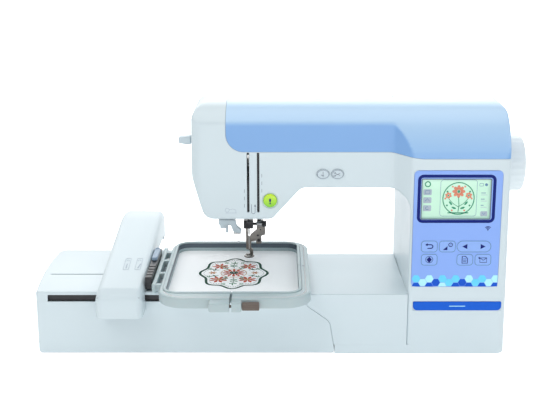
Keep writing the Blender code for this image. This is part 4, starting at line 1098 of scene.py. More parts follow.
def base():
    """Tray under column and bed, level with their fronts, with a skirt that hides the feet."""
    top = TRAY_TOP + GAP * 0.95
    tray = soft_prism("tray", TRAY_OUTLINE, SKIRT_LOW, top, "Z", "casing", edges=(0.0015, 0.0))
    cut(tray, prism("under_tray", rounded(inset(TRAY_OUTLINE, 0.003)), -FAR, FOOT_TOP, "Z"))
    join(tray, soft_prism("tongue", rectangle((-0.106, ARM_FRONT + 0.0005), (0.07, BED_REAR - 0.003), 0.004),
                          FOOT_TOP + 0.0001, TRAY_TOP - 0.0001, "Z", edges=(0.0015, 0.0004)))
    ready(tray, "machine", "casing", "base_tray")
    pad_top = FOOT_TOP - GAP
    profile = [(0.0, 0.0), (0.0072, 0.0), (0.0078, 0.0004), (0.008, 0.0012),
               (0.008, pad_top), (0.0, pad_top)]
    for name, place in FEET.items():
        pad = turned(name + "_pad", profile, (*place, 0.0), "Z", "rubber", sides=48)
        ready(pad, "machine", "rubber", name)


def bed_in_unit(grow):
    """A tool for the room that the bed takes in the unit."""
    return prism("bed_room", rounded(inset(BED_BLOCK, -grow)), -FAR, FAR, "Y")


def embroidery_unit():
    """Lower case and top cover of the unit, with the slot in front and the groove on top."""
    lower = soft_prism("unit_case", UNIT_PLAN, SKIRT_LOW, UNIT_SPLIT + GAP * 0.7, "Z", "casing",
                       edges=(0.004, 0.0))
    cut(lower, bed_in_unit(UNIT_GAP))
    below = prism("below", rounded(inset(UNIT_PLAN, 0.003)), -FAR, FOOT_TOP, "Z")
    cut(below, bed_in_unit(0.0036))
    cut(lower, below)
    room = prism("room", rounded(inset(UNIT_PLAN, 0.0025)), FOOT_TOP + 0.003, FAR, "Z")
    cut(room, bed_in_unit(0.0031))
    cut(lower, room)
    upper = soft_prism("unit_top", UNIT_PLAN, UNIT_SPLIT + GAP, UNIT_TOP, "Z", "casing",
                       edges=(0.0, 0.0026))
    over_bed = box("over_bed", (BED_BLOCK_LEFT - UNIT_GAP, -FAR, 0.065), (FAR, FAR, FAR))
    cut(upper, bed_in_unit(UNIT_GAP), over_bed)
    under = prism("under", rounded(inset(UNIT_PLAN, 0.0025)), 0.0, UNIT_TOP - 0.0025, "Z")
    cut(under, bed_in_unit(0.0031))
    groove = rectangle((GROOVE_LEFT, GROOVE_Y - 0.0015), (GROOVE_RIGHT, GROOVE_Y + 0.0015), 0.00149)
    slot = rounded(rectangle((SLOT_LEFT, 0.05), (SLOT_RIGHT, SLOT_HIGH), 0.0012), 5)
    cut(upper, under,
        prism("slot", slot, -0.1, -0.07, "Y"),
        prism("groove", rounded(groove, 6), 0.06, 0.09, "Z"))
    ready(lower, "machine", "casing", "unit_lower_case")
    ready(upper, "machine", "casing", "unit_upper_cover")
    dark = box("slot_backing", (SLOT_LEFT - 0.002, -0.0775, UNIT_SPLIT + 0.001),
               (SLOT_RIGHT + 0.002, -0.077, 0.0728), "black")
    ready(dark, "machine", "black")


# ---------------------------------------------------------------- carriage and frame holder

CARRIAGE_LEFT = -0.21
CARRIAGE_RIGHT = -0.158
CARRIAGE_FORM = [  # the carriage from the side with its underside carried down, anticlockwise
    (-0.111, 0.02, 0.0),
    (0.149, 0.02, 0.0),
    (0.149, 0.112, 0.02),
    (0.105, 0.114, 0.12),
    (-0.095, 0.085, 0.02),
    (-0.111, 0.08, 0.008),
]
CARRIAGE_EDGE = 0.0085
CARRIAGE_WALL = 0.0024
LIP_LOW = 0.0545
DECK_LOW = 0.0766
CARRIAGE_SLOPE = (0.114 - 0.085) / (0.105 + 0.095)
HOLDER_WAY = ((-0.164, -0.077, 0.05), (-0.148, 0.124, 0.0818))
LEVER_PIVOT = (-0.15375, -0.016)
LEVER_WIDTH = 0.0066


def carriage():
    """The moving carriage: a soft sloping cover with a lip in front, open underneath."""
    wall, edge = CARRIAGE_WALL, CARRIAGE_EDGE
    cover = soft_prism("carriage_shell", CARRIAGE_FORM, CARRIAGE_LEFT, CARRIAGE_RIGHT, "X", "casing",
                       edges=(edge, edge), steps=8)
    room = soft_prism("room", inset(CARRIAGE_FORM, wall, LEAST_RADIUS), CARRIAGE_LEFT + wall,
                      CARRIAGE_RIGHT - wall, "X", edges=(edge - wall, edge - wall), steps=8)
    cut(cover, room,
        box("under_lip", (-FAR, -FAR, -0.1), (FAR, FAR, LIP_LOW)),
        box("under_deck", (-FAR, -0.0825, -0.1), (FAR, FAR, DECK_LOW)),
        box("holder_way", *HOLDER_WAY))
    ready(cover, "carriage", "casing", "carriage_cover", angle=50)

    def on_slope(across, along, out):
        return Vector((across, along, 0.08525 + (along + 0.095) * CARRIAGE_SLOPE + out))

    icon = Print("lever_pictures", "faint_mark", on_slope)
    for left, lean in ((-0.1865, 0.0), (-0.173, 0.002)):
        icon.at((left, -0.05))
        icon.frame((0, 0), (0.0062, 0.029), 0.0012, 0.0004)
        icon.line([(0.0031, 0.004), (0.0031 + lean, 0.015)], 0.0012)
        icon.line([(0.0014, 0.0225), (0.0031, 0.0255), (0.0048, 0.0225)], 0.0005)
    icon.done("carriage", "casing")


def holder():
    """The block that carries the frame, with the lever that secures it."""
    body = box("holder_block", (-0.1575, -0.08, 0.0785), (-0.15, 0.03, 0.0925), "black", edge=0.0008)
    join(body, box("holder_arm", (-0.195, -0.045, 0.079), (-0.155, -0.015, 0.0815), edge=0.0004))
    slots = [box("rib", (-0.16, along, 0.0915), (-0.148, along + 0.003, 0.095))
             for along in (-0.072 + 0.01 * number for number in range(4))]
    cut(body, *slots, rod("lever_bore", (*LEVER_PIVOT, 0.0925), 0.01, 0.0019, "Z", edge=0.0001, sides=32))
    ready(body, "frame", "black", "frame_holder")
    half = LEVER_WIDTH / 2
    across, along = LEVER_PIVOT
    outline = rectangle((across - half, along - half), (across + half, 0.022), half * 0.98)
    lever = soft_prism("locking_lever", outline, 0.0928, 0.0965, "Z", "lever", edges=(0.0003, 0.0012))
    join(lever, rod("lever_pin", (*LEVER_PIVOT, 0.0912), 0.006, 0.0016, "Z", sides=32))
    thumb = rounded(rectangle((across - 0.0018, 0.01), (across + 0.0018, 0.019), 0.0016), 6)
    cut(lever, prism("thumb_dip", thumb, 0.0959, 0.1, "Z"))
    ready(lever, "lock_lever", "lever", "securing_lever")


# ---------------------------------------------------------------- hoop

HOOP_LOW = 0.0762
HOOP_HIGH = 0.0885
OPENING = ((-0.132, -0.116), (0.015, 0.071))
OPENING_RADIUS = 0.014
INNER_WALL = 0.0032
RING_LOW = (-0.139, -0.137)
RING_HIGH = (0.028, 0.08)
RING_RADIUS = 0.03
SCREW = (-0.143, 0.0811)  # along and up
SPLIT_ACROSS = (-0.0604, -0.0578)
BOSS_ACROSS = (-0.0823, -0.047)
HOOP_MIDDLE = ((OPENING[0][0] + OPENING[1][0]) / 2, (OPENING[0][1] + OPENING[1][1]) / 2)


def inner_ring():
    """Inner ring with notches at its middles and a dark strip on its upper inner wall that is painted shade.
    """
    opening = rectangle(*OPENING, OPENING_RADIUS)
    ring = soft_prism("inner_ring", inset(opening, -INNER_WALL), HOOP_LOW, HOOP_HIGH, "Z", "hoop",
                      edges=(0.0003, 0.001))
    cut(ring, prism("opening", rounded(opening), 0, FAR, "Z"))
    x, y = HOOP_MIDDLE
    (left, front), (right, rear) = OPENING
    for low, high in (((left - 0.004, y - 0.0007), (left + 0.0008, y + 0.0007)),
                      ((right - 0.0008, y - 0.0007), (right + 0.004, y + 0.0007)),
                      ((x - 0.0007, front - 0.004), (x + 0.0007, front + 0.0008)),
                      ((x - 0.0007, rear - 0.0008), (x + 0.0007, rear + 0.004))):
        cut(ring, box("notch", (*low, HOOP_HIGH - 0.0008), (*high, HOOP_HIGH + 0.001)))
    ready(ring, "frame", "hoop", "hoop_inner")
    # painted shade: a dark strip on the upper inner wall of the ring stands for the shade there
    strip = prism("painted_shade_strip", rounded(opening), 0.0812, 0.0868, "Z", "shade")
    cut(strip, prism("strip_inside", rounded(inset(opening, 0.00025)), 0, FAR, "Z"))
    ready(strip, "frame", "hoop")


def outer_ring():
    """Outer ring with its bracket on the left and the split clamp in front."""
    outline = rectangle(RING_LOW, RING_HIGH, RING_RADIUS)
    high = HOOP_HIGH - 0.001
    ring = soft_prism("outer_ring", outline, HOOP_LOW, high, "Z", "hoop", edges=(0.001, 0.002))
    for along in (-0.084, -0.043, 0.004, 0.037):
        low, far = (-0.147, along - 0.003, 0.0785), (-0.136, along + 0.003, 0.086)
        join(ring, box("rung", low, far, edge=0.0007))
    boss = rectangle((BOSS_ACROSS[0], HOOP_LOW), (BOSS_ACROSS[1], 0.0862), 0.0024)
    join(ring,
         box("bracket", (-0.1493, -0.088, 0.0775), (-0.1445, 0.052, 0.0868), edge=0.0008),
         soft_prism("clamp_boss", boss, -0.149, -0.13, "Y", edges=(0.0014, 0.0)))
    seat = inset(rectangle(*OPENING, OPENING_RADIUS), -INNER_WALL - GAP)
    groove_out = inset(outline, 0.0062)
    groove = prism("groove", rounded(inset(outline, 0.0048)), high - 0.0007, FAR, "Z")
    cut(groove, prism("groove_core", rounded(groove_out), 0, FAR, "Z"))
    cut(ring,
        prism("seat", rounded(seat), 0, FAR, "Z"),
        groove,
        box("clamp_split", (SPLIT_ACROSS[0], -0.16, 0.0), (SPLIT_ACROSS[1], -0.11, FAR)),
        rod("screw_bore", (-0.064, *SCREW), 0.06, 0.002, "X", edge=0.0001))
    ready(ring, "frame", "hoop", "hoop_outer")
    marks = Print("hoop_marks", "grey_mark", on_top(high))
    x, y = HOOP_MIDDLE
    for side, edge in ((-1, RING_LOW[0]), (1, RING_HIGH[0])):
        tip = edge - side * 0.0085
        marks.patch([(tip, y), (tip + side * 0.0028, y - 0.0017), (tip + side * 0.0028, y + 0.0017)][::side])
    for side, edge in ((-1, RING_LOW[1]), (1, RING_HIGH[1])):
        tip = edge - side * (0.0145 if side < 0 else 0.003)
        marks.patch([(x, tip), (x + 0.0017, tip + side * 0.0022), (x - 0.0017, tip + side * 0.0022)][::side])
    marks.done("frame", "hoop")


def clamp_screw():
    """The screw across the clamp with its ribbed knob."""
    profile = ((0.8, -0.0466), (0.95, -0.0462), (1.0, -0.0456),
               (1.0, -0.029), (0.95, -0.0284), (0.7, -0.028))
    knob = lofted("clamp_knob", [
        about_x(along, SCREW, ribbed(shrink * 0.0046, shrink * 0.00422)) for shrink, along in profile
    ], "knob")
    join(knob, rod("shank", (-0.063, *SCREW), 0.036, 0.0016, "X", sides=32))
    ready(knob, "clamp_screw", "black", "hoop_screw")


# ---------------------------------------------------------------- fabric and embroidery

FABRIC_LOW = HOOP_LOW + 0.0005
FABRIC_TOP = HOOP_LOW + 0.001
STITCH_PITCH = 0.00042
SLANT = 0.25  # lean of a satin stitch along its path
RUNNING_LENGTH = 0.0022  # of a stitch in a plain line
THREAD_RADIUS = 0.00023
STITCH_HEIGHT = 0.00032
MOTIF = (-0.0605, -0.019)
MOTIF_HALF = (0.04, 0.056)


class Stitches:
    """Embroidery in one thread: each stitch is a small arched strand on the cloth."""

    def __init__(self, name, paint):
        self.name = name
        self.paint = paint
        self.bm = bmesh.new()

    def stitch(self, start, end, height=STITCH_HEIGHT, radius=THREAD_RADIUS):
        start, end = Vector(start), Vector(end)
        run = end - start
        side = Vector((-run.y, run.x)).normalized() * radius
        rings = []
        for share in (0.22, 0.78):
            spot = start + run * share
            middle = FABRIC_TOP + height
            rings.append([self.bm.verts.new(p) for p in (
                (spot.x - side.x, spot.y - side.y, middle - radius),
                (spot.x, spot.y, middle + radius * 0.6),
                (spot.x + side.x, spot.y + side.y, middle - radius),
                (spot.x, spot.y, FABRIC_TOP - 0.00005),
            )])
        ends = [self.bm.verts.new((p.x, p.y, FABRIC_TOP - 0.0001)) for p in (start, end)]
        for step in range(4):
            following = (step + 1) % 4
            self.bm.faces.new((ends[0], rings[0][following], rings[0][step]))
            self.bm.faces.new((rings[0][step], rings[0][following], rings[1][following], rings[1][step]))
            self.bm.faces.new((ends[1], rings[1][step], rings[1][following]))

    def satin(self, points, width, closed=False):
        """Stitches side by side across a path; the width is a size or a function of the share along it."""
        points = [Vector(p) for p in points]
        if closed:
            points.append(points[0])
        lengths = [(b - a).length for a, b in zip(points, points[1:])]
        total = sum(lengths)
        count = max(2, round(total / STITCH_PITCH))
        index, passed = 0, 0.0
        for step in range(count + (0 if closed else 1)):
            at = total * step / count
            while index < len(lengths) - 1 and at > passed + lengths[index]:
                passed += lengths[index]
                index += 1
            heading = (points[index + 1] - points[index]).normalized()
            spot = points[index] + heading * (at - passed)
            wide = width(step / count) if callable(width) else width
            across = (Vector((-heading.y, heading.x)) + heading * SLANT).normalized() * wide / 2
            if wide > 0.0003:
                self.stitch(spot - across, spot + across)

    def running(self, points, closed=False):
        """A line of stitches end to end."""
        points = [Vector(p) for p in points]
        if closed:
            points.append(points[0])
        for one, two in zip(points, points[1:]):
            count = max(1, round((two - one).length / RUNNING_LENGTH))
            for step in range(count):
                self.stitch(one.lerp(two, step / count), one.lerp(two, (step + 0.92) / count), 0.0002, 0.0002)

    def petal(self, root, heading, length, width):
        """A leaf or petal that swells and closes again."""
        heading = Vector(heading).normalized()
        tip = Vector(root) + heading * length
        self.satin([root, tip],
                   lambda share: width * math.sin(math.pi * min(1.0, share * 0.96 + 0.02)) ** 0.7)

    def done(self):
        obj = link_mesh(self.name, self.bm, self.paint)
        return ready(obj, "frame", "fabric", angle=75)


def in_motif(across, along):
    return Vector((MOTIF[0] + across * MOTIF_HALF[0], MOTIF[1] + along * MOTIF_HALF[1]))


def flower(petals, core, place, count, inner, outer, width, start=0.0):
    middle = in_motif(*place)
    for step in range(count):
        a = start + math.tau * step / count
        heading = Vector((math.cos(a), math.sin(a)))
        petals.petal(middle + heading * inner, heading, outer - inner, width)
    for radius in (inner * 0.78, inner * 0.38):
        core.satin(oval(middle, (radius, radius), 24), inner * 0.42, closed=True)


def sprig(stem, leaves, place, heading, length, pairs, leaf=0.0048):
    """A short stem with pairs of leaves and one at its tip."""
    root = in_motif(*place)
    heading = Vector(heading).normalized()
    normal = Vector((-heading.y, heading.x))
    bend = [root + heading * length * s / 8 + normal * 0.0011 * math.sin(math.pi * s / 8) for s in range(9)]
    stem.satin(bend, 0.0008)
    for number in range(pairs):
        spot = bend[2 + round(5 * number / max(1, pairs - 1))] if pairs > 1 else bend[4]
        for side in (-1, 1):
            leaves.petal(spot, heading * 0.75 + normal * side, leaf, 0.0019)
    leaves.petal(bend[-1], heading, leaf, 0.002)


def medallion():
    """Edge of the motif: an oval with eight soft lobes."""
    outline = []
    for step in range(160):
        a = math.tau * step / 160
        reach = 0.93 + 0.065 * math.cos(8 * a)
        outline.append(in_motif(reach * math.cos(a), reach * math.sin(a)))
    return outline


def embroidery():
    green = Stitches("stitches_green", "green")
    leaf = Stitches("stitches_leaf", "leaf")
    coral = Stitches("stitches_coral", "coral")
    sand = Stitches("stitches_sand", "sand")
    edge = medallion()
    green.satin(edge, 0.0036, closed=True)
    centre = in_motif(0, 0)
    green.running([centre + (p - centre) * 0.89 for p in edge[::2]], closed=True)
    flower(coral, green, (0, 0.02), 12, 0.0052, 0.0135, 0.0042)
    sand.satin(oval(centre, (0.0152, 0.0152), 40), 0.0011, closed=True)
    for across in (-0.42, 0.42):
        flower(coral, sand, (across, 0.45), 7, 0.0026, 0.0098, 0.0046, start=across)
        flower(coral, sand, (across, -0.42), 8, 0.0028, 0.0108, 0.0046, start=across)
        flower(sand, coral, (across * 1.48, 0.02), 6, 0.0014, 0.0048, 0.0024)
        side = math.copysign(1, across)
        sprig(green, leaf, (across * 0.45, 0.26), (side * 0.4, 1), 0.009, 2)
        sprig(green, leaf, (across * 0.52, -0.24), (side * 0.3, -1), 0.0085, 2)
        sprig(leaf, green, (across * 1.05, 0.2), (side * 0.9, 0.35), 0.007, 1)
        sprig(leaf, green, (across * 1.05, -0.15), (side * 0.9, -0.35), 0.007, 1)
    sprig(green, leaf, (0, 0.33), (0, 1), 0.02, 3, leaf=0.0058)
    sprig(green, leaf, (0, -0.3), (0, -1), 0.0215, 3, leaf=0.0058)
    for across, along in ((0.24, 0.68), (0.26, -0.7), (0.72, 0.28), (0.72, -0.22)):
        for side in (1, -1):
            flower(leaf, sand, (side * across, along), 5, 0.0007, 0.003, 0.0015)
    return [threads.done() for threads in (green, leaf, coral, sand)]


FIELD_CORNER = Vector((0.047, 0.024, 0.0))  # from the needle at rest to the corner of the stitching field


def fabric():
    """Cotton stretched inside the ring, with a needle hole at rest and one at the corner of the field."""
    flat = inset(rectangle(*OPENING, OPENING_RADIUS), GAP)
    cloth = prism("cloth", rounded(flat), FABRIC_LOW, FABRIC_TOP, "Z", "fabric")
    for place in (NEEDLE, NEEDLE + FIELD_CORNER):
        cut(cloth, prism("needle_hole", oval(place, (0.0007, 0.0007), 20), 0, FAR, "Z"))
    ready(cloth, "frame", "fabric", "fabric")
    threads = embroidery()


# ---------------------------------------------------------------- needle, presser foot and threader

BRACKET_UP = 0.168
CLAMP_UP = 0.124
PRESSER = (-0.031, 0.0385)
LEVER_AXIS = (0.058, 0.168)


def ribbed_rod(name, low, high, centre, radius):
    """A small knob along X with grip ribs."""
    profile = ((0.82, low), (1.0, low + 0.0005), (1.0, high - 0.0005), (0.82, high))
    return lofted(name, [
        about_x(along, centre, ribbed(radius * shrink, radius * shrink * 0.93)) for shrink, along in profile
    ])


def needle_group():
    """Needle bar with its bracket, needle clamp with its screw and nut, and the needle."""
    bar = rod("bar_of_needle", (NEEDLE.x, NEEDLE.y, 0.207), 0.092, 0.0032, "Z", "steel")
    join(bar, rod("bar_end", (NEEDLE.x, NEEDLE.y, 0.14565), 0.0327, 0.0016, "Z", sides=32),
         box("bracket", (-0.06, 0.01, BRACKET_UP - 0.005), (NEEDLE.x + 0.002, 0.033, BRACKET_UP + 0.005),
             edge=0.0006),
         rod("pin", (-0.062, SHAFT_Y, BRACKET_UP), 0.0052, 0.002, "X", sides=24))
    ready(bar, "needle_assembly", "steel", "needle_bar")
    clamp = box("clamp_block", (-0.05, 0.025, 0.119), (-0.0385, 0.035, 0.129), "black", edge=0.001)
    join(clamp, rod("clamp_shank", (-0.0315, NEEDLE.y, CLAMP_UP), 0.016, 0.0016, "X", sides=24),
         ribbed_rod("clamp_knob", -0.0276, -0.0226, (NEEDLE.y, CLAMP_UP), 0.0036),
         rod("clamp_pin", (-0.0445, 0.0248, 0.1215), 0.0016, 0.0013, "Y", sides=24))
    cut(clamp, box("thread_guide", (-0.0492, 0.024, 0.1268), (-0.047, 0.027, 0.13)))
    ready(clamp, "needle_assembly", "black", "needle_clamp")
    nut = turned("clamp_nut", [(0.0016, -0.0343), (0.0026, -0.0345), (0.003, -0.0341), (0.003, -0.0281),
                               (0.0026, -0.0277), (0.0016, -0.0277)],
                 (0.0, NEEDLE.y, CLAMP_UP), "X", "gear", sides=40)
    ready(nut, "needle_assembly", "steel")
    point = [(0.0, 0.091), (0.00028, 0.0925), (0.00046, 0.0945), (0.00046, 0.11), (0.0008, 0.111),
             (0.0008, 0.1187), (0.0, 0.1187)]
    shaft = turned("needle_shaft", point, NEEDLE, "Z", "steel", sides=24)
    cut(shaft, box("needle_eye", (NEEDLE.x - 0.00018, NEEDLE.y - 0.002, 0.0935),
                   (NEEDLE.x + 0.00018, NEEDLE.y + 0.002, 0.0944)))
    ready(shaft, "needle_assembly", "steel", "needle")


FOOT_FRONT = 0.0357
FOOT_LOW = 0.0823
FOOT_PLATE = [  # the foot's bracket seen from the front, anticlockwise
    (-0.0475, 0.0905, 0.001), (-0.043, 0.0885, 0.001), (-0.043, FOOT_LOW, 0.0), (-0.0389, FOOT_LOW, 0.0008),
    (-0.0389, 0.089, 0.0012), (-0.0413, 0.0912, 0.001), (-0.0413, 0.1, 0.001), (-0.0353, 0.1005, 0.0005),
    (-0.0353, 0.097, 0.001), (-0.0286, 0.097, 0.001), (-0.0286, 0.1072, 0.0005), (-0.024, 0.1085, 0.001),
    (-0.024, 0.118, 0.001), (-0.0305, 0.118, 0.001), (-0.0414, 0.1092, 0.002), (-0.0428, 0.106, 0.0005),
    (-0.045, 0.106, 0.0009), (-0.045, 0.117, 0.0008), (-0.0478, 0.117, 0.0008),
]


def presser_group():
    """Presser bar, embroidery foot with its screw, and the lever that lifts it."""
    bar = rod("bar_of_foot", (*PRESSER, 0.18615), 0.1197, 0.003, "Z", "steel")
    ready(bar, "presser", "steel", "presser_bar")
    foot = soft_prism("foot_plate", FOOT_PLATE, FOOT_FRONT, 0.0387, "Y", "foot",
                      edges=(0.0003, 0.0), steps=3, arc=6)
    join(foot,
         box("block", (-0.0345, FOOT_FRONT + 0.0001, 0.113), (-0.0262, 0.044, 0.126), edge=0.0008),
         box("toe", (-0.048, 0.033, FOOT_LOW), (-0.0389, FOOT_FRONT + 0.001, 0.0845), edge=0.0005),
         rod("foot_ring", (NEEDLE.x, NEEDLE.y, 0.08315), 0.0017, 0.0062, "Z", edge=0.0005, sides=56))
    cut(foot,
        rod("foot_eye", (NEEDLE.x, NEEDLE.y, 0.083), 0.01, 0.0034, "Z", edge=0.0001, sides=48),
        rod("screw_hole", (-0.032, 0.038, 0.1015), 0.008, 0.0014, "Y", edge=0.0001, sides=32))
    ready(foot, "presser", "foot_steel", "embroidery_foot")
    screw = rod("screw_head", (-0.032, 0.0349, 0.1015), 0.001, 0.0019, "Y", "black", sides=40)
    join(screw, rod("screw_shank", (-0.032, 0.037, 0.1015), 0.004, 0.0011, "Y", sides=32))
    cut(screw, box("driver_slot", (-0.0345, 0.0335, 0.1013), (-0.0295, 0.0347, 0.1017)))
    ready(screw, "presser", "black", "foot_screw")
    spots = Print("foot_screws", "black", on_front(FOOT_FRONT))
    spots.disc((-0.0331, 0.1076), (0.0012, 0.0012))
    spots.disc((-0.03, 0.115), (0.0009, 0.0009))
    spots.done("presser", "foot_steel")
    lever = box("lifting_arm", (-0.0235, 0.055, 0.13), (-0.0195, 0.061, 0.171), "black", edge=0.001)
    join(lever,
         box("lever_tip", (-0.027, 0.054, 0.1255), (-0.014, 0.062, 0.134), edge=0.0018),
         rod("lever_axle", (-0.0175, *LEVER_AXIS), 0.007, 0.0015, "X", sides=24))
    ready(lever, "lifting_lever", "casing", "presser_lever")


THREADER_CARRIER = [  # the holder of the threader's hook seen from the front, anticlockwise
    (-0.077, 0.1262, 0.001), (-0.07, 0.1262, 0.001), (-0.07, 0.13, 0.001), (-0.0645, 0.13, 0.001),
    (-0.061, 0.1215, 0.001), (-0.054, 0.1205, 0.0008), (-0.0515, 0.1235, 0.0008), (-0.0575, 0.129, 0.001),
    (-0.059, 0.1365, 0.001), (-0.079, 0.1365, 0.001), (-0.079, 0.1315, 0.001), (-0.077, 0.13, 0.0005),
]


def threader_group():
    """The threader's lever on the left of the head, and its rod with the carrier and blade."""
    along, up = THREADER
    lever = soft_prism("threader_knob", [
        (-0.1215, up - 0.0035, 0.002), (-0.1075, up - 0.0052, 0.001),
        (-0.1075, up + 0.0052, 0.001), (-0.1215, up + 0.0035, 0.002),
    ], along - 0.0055, along + 0.0055, "Y", "button", edges=(0.0012, 0.0012))
    join(lever,
         box("stem", (-0.108, along - 0.0025, up - 0.003), (-0.095, along + 0.0025, up + 0.003)),
         box("plate", (-0.0985, along - 0.007, up - 0.01), (-0.095, along + 0.007, up + 0.008)),
         box("arm", (-0.096, along - 0.0025, up - 0.008), (-0.066, along + 0.0025, up - 0.004)),
         box("reach", (-0.072, along - 0.0025, up - 0.008), (-0.066, 0.009, up - 0.004)))
    ready(lever, "threader", "casing", "threader_lever")
    hook = rod("threader_rod", (-0.069, 0.006, 0.17475), 0.1095, 0.0015, "Z", "button", sides=24)
    join(hook,
         soft_prism("carrier", THREADER_CARRIER, 0.001, 0.0088, "Y", edges=(0.0005, 0.0005), steps=3, arc=8))
    blade = box("threader_blade", (-0.0612, 0.004, 0.1185), (-0.0525, 0.0052, 0.1225), "steel", edge=0.0004)
    ready(blade, "threader", "steel")
    ready(hook, "threader", "casing", "threader_hook")


# ---------------------------------------------------------------- needle plate, bobbin and take-up lever

PLATE_LOW = BED_TOP + GAP
PLATE_TOP = 0.0745
BOBBIN_WINDOW = ((-0.064, -0.019), (-0.024, 0.02))
TAKE_UP_AXIS = (-0.028, 0.216)
PLATE_CUT = (0.06, 0.09)  # reach of tools through the plate


def needle_plate():
    """Needle plate with its seam marks, the bobbin window and its latch."""
    sides = rectangle((-0.084, -0.0236), (-0.004, 0.056), 0.0022)
    plate = soft_prism("plate", sides, PLATE_LOW, PLATE_TOP, "Z", "steel", edges=(0.0, 0.0004), steps=3)
    low, high = BOBBIN_WINDOW
    cut(plate,
        prism("window", rounded(rectangle(low, high, 0.0016), 6), *PLATE_CUT, "Z"),
        prism("needle_slot", oval(NEEDLE, (0.002, 0.002), 32), *PLATE_CUT, "Z"),
        box("latch_slot", (-0.02, -0.0063, 0.06), (-0.0075, 0.0043, 0.09)))
    for offset, along in ((-0.0065, 0.0225), (0.0065, 0.0225), (-0.0105, 0.0245), (0.0105, 0.0245)):
        across = NEEDLE.x + offset
        cut(plate, box("feed_way", (across - 0.0008, along, PLATE_TOP - 0.0005),
                       (across + 0.0008, along + 0.014, PLATE_TOP + 0.001)))
    ready(plate, "machine", "steel", "needle_plate")
    lines = Print("seam_marks", "grey_mark", on_top(PLATE_TOP))
    for step in range(6):
        right = -0.02 + 0.0022 * step
        left = NEEDLE.x - 0.016 - 0.003 * step
        lines.line([(right, 0.027), (right, 0.036 if step % 2 else 0.039)], 0.00025)
        lines.line([(left, 0.027), (left, 0.034)], 0.00025)
    lines.done("machine", "steel")
    window = soft_prism("bobbin_window", rectangle(*grown(low, high, -GAP), 0.0014),
                        PLATE_LOW, PLATE_TOP, "Z", "clear", edges=(0.0, 0.0004), steps=3)
    cut(window, box("thread_path", (-0.0628, -0.015, PLATE_TOP - 0.0006),
                    (-0.0618, 0.014, PLATE_TOP + 0.001)))
    ready(window, "machine", "clear", "bobbin_cover")
    latch = box("latch_slide", (-0.0195, -0.006, PLATE_LOW), (-0.0108, 0.004, PLATE_TOP + 0.0006), "black",
                edge=0.0003)
    cut(latch, *[box("grip", (-0.0182 + 0.0016 * step, -0.005, PLATE_TOP + 0.0003),
                     (-0.0176 + 0.0016 * step, 0.003, PLATE_TOP + 0.001)) for step in range(4)])
    ready(latch, "latch", "black", "cover_latch")


def take_up_lever():
    along, up = TAKE_UP_AXIS
    outline = [
        (along + 0.004, up - 0.004, 0.003), (along + 0.004, up + 0.004, 0.003),
        (-0.056, 0.229, 0.002), (-0.0632, 0.23, 0.001),
        (-0.0632, 0.225, 0.001), (-0.056, 0.2235, 0.003), (along - 0.002, up - 0.005, 0.002),
    ]
    across = THREAD_SLOTS[0]
    lever = prism("take_up", rounded(outline, 8), across - 0.0008, across + 0.0008, "X", "steel")
    cut(lever, rod("eye", (across, -0.06, 0.2274), 0.01, 0.0011, "X", edge=0.0001, sides=24))
    ready(lever, "take_up", "steel", "take_up_lever")


# ---------------------------------------------------------------- handwheel, handle, spool, switch and inlet

def handwheel():
    """The handwheel: a plain hub face and a rim with shallow finger grips."""
    profile = (  # radius, place along the axis and depth of the finger grips
        (0.0277, 0.2475, 0), (0.0305, 0.2478, 0), (0.0317, 0.249, 0), (0.0322, 0.2515, 0.0006),
        (0.0322, 0.273, 0.0006), (0.0319, 0.2755, 0.0006), (0.0307, 0.2772, 0), (0.0282, 0.278, 0),
        (0.0252, 0.2776, 0), (0.0237, 0.2768, 0), (0.006, 0.2768, 0),
    )
    turns = [math.tau * step / 168 for step in range(168)]
    wheel = lofted("wheel", [
        about_x(along, (SHAFT_Y, SHAFT_Z), [radius - grip * (1 - math.cos(a * 24)) / 2 for a in turns])
        for radius, along, grip in profile
    ], "wheel")
    cut(wheel, rod("back_room", (0.2505, SHAFT_Y, SHAFT_Z), 0.012, 0.0262, "X", edge=0.0008, sides=96))
    left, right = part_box("handwheel")[0].x - DATUM.x, 0.26
    join(wheel, rod("hub", ((left + right) / 2, SHAFT_Y, SHAFT_Z), right - left, 0.0085, "X", sides=64))
    bore = SHAFT_RADIUS + GAP
    cut(wheel, rod("bore", (0.255, SHAFT_Y, SHAFT_Z), 0.015, bore, "X", edge=0.0001, sides=48))
    ready(wheel, "drive", "casing", "handwheel")


def handle():
    """The carrying handle in the rear of the top: a grip between two arms on pins."""
    bar = box("grip", (-0.041, 0.036, 0.264), (0.121, 0.044, 0.271), "inner", edge=0.0022)
    for across, pin in ((-0.041, 0.0005), (0.115, 0.0055)):
        join(bar,
             box("handle_arm", (across, 0.011, 0.264), (across + 0.006, 0.044, 0.271), edge=0.0018),
             rod("handle_pin", (across + pin, 0.0145, 0.2675), 0.008, 0.002, "X", sides=32))
    ready(bar, "handle", "casing", "carry_handle")


def spool_and_winder():
    pin = rod("spool_rod", (0.05925, -0.036, 0.262), 0.0715, 0.0022, "X", "button", edge=0.0008)
    join(pin, rod("spool_flange", (0.0245, -0.036, 0.262), 0.002, 0.008, "X", edge=0.0006, sides=64))
    ready(pin, "machine", "casing", "spool_pin")
    profile = [(0.0, 0.2556), (0.0076, 0.2556), (0.008, 0.2559), (0.008, 0.2571), (0.0076, 0.2575),
               (0.003, 0.2575), (0.003, 0.2725), (0.0022, 0.2738), (0.0, 0.274)]
    winder = turned("winder", profile, (0.197, -0.0315, 0.0), "Z", "black")
    cut(winder, box("winder_slit", (0.1966, -0.036, 0.262), (0.1974, -0.027, 0.28)))
    ready(winder, "winder", "black", "winder_spindle")


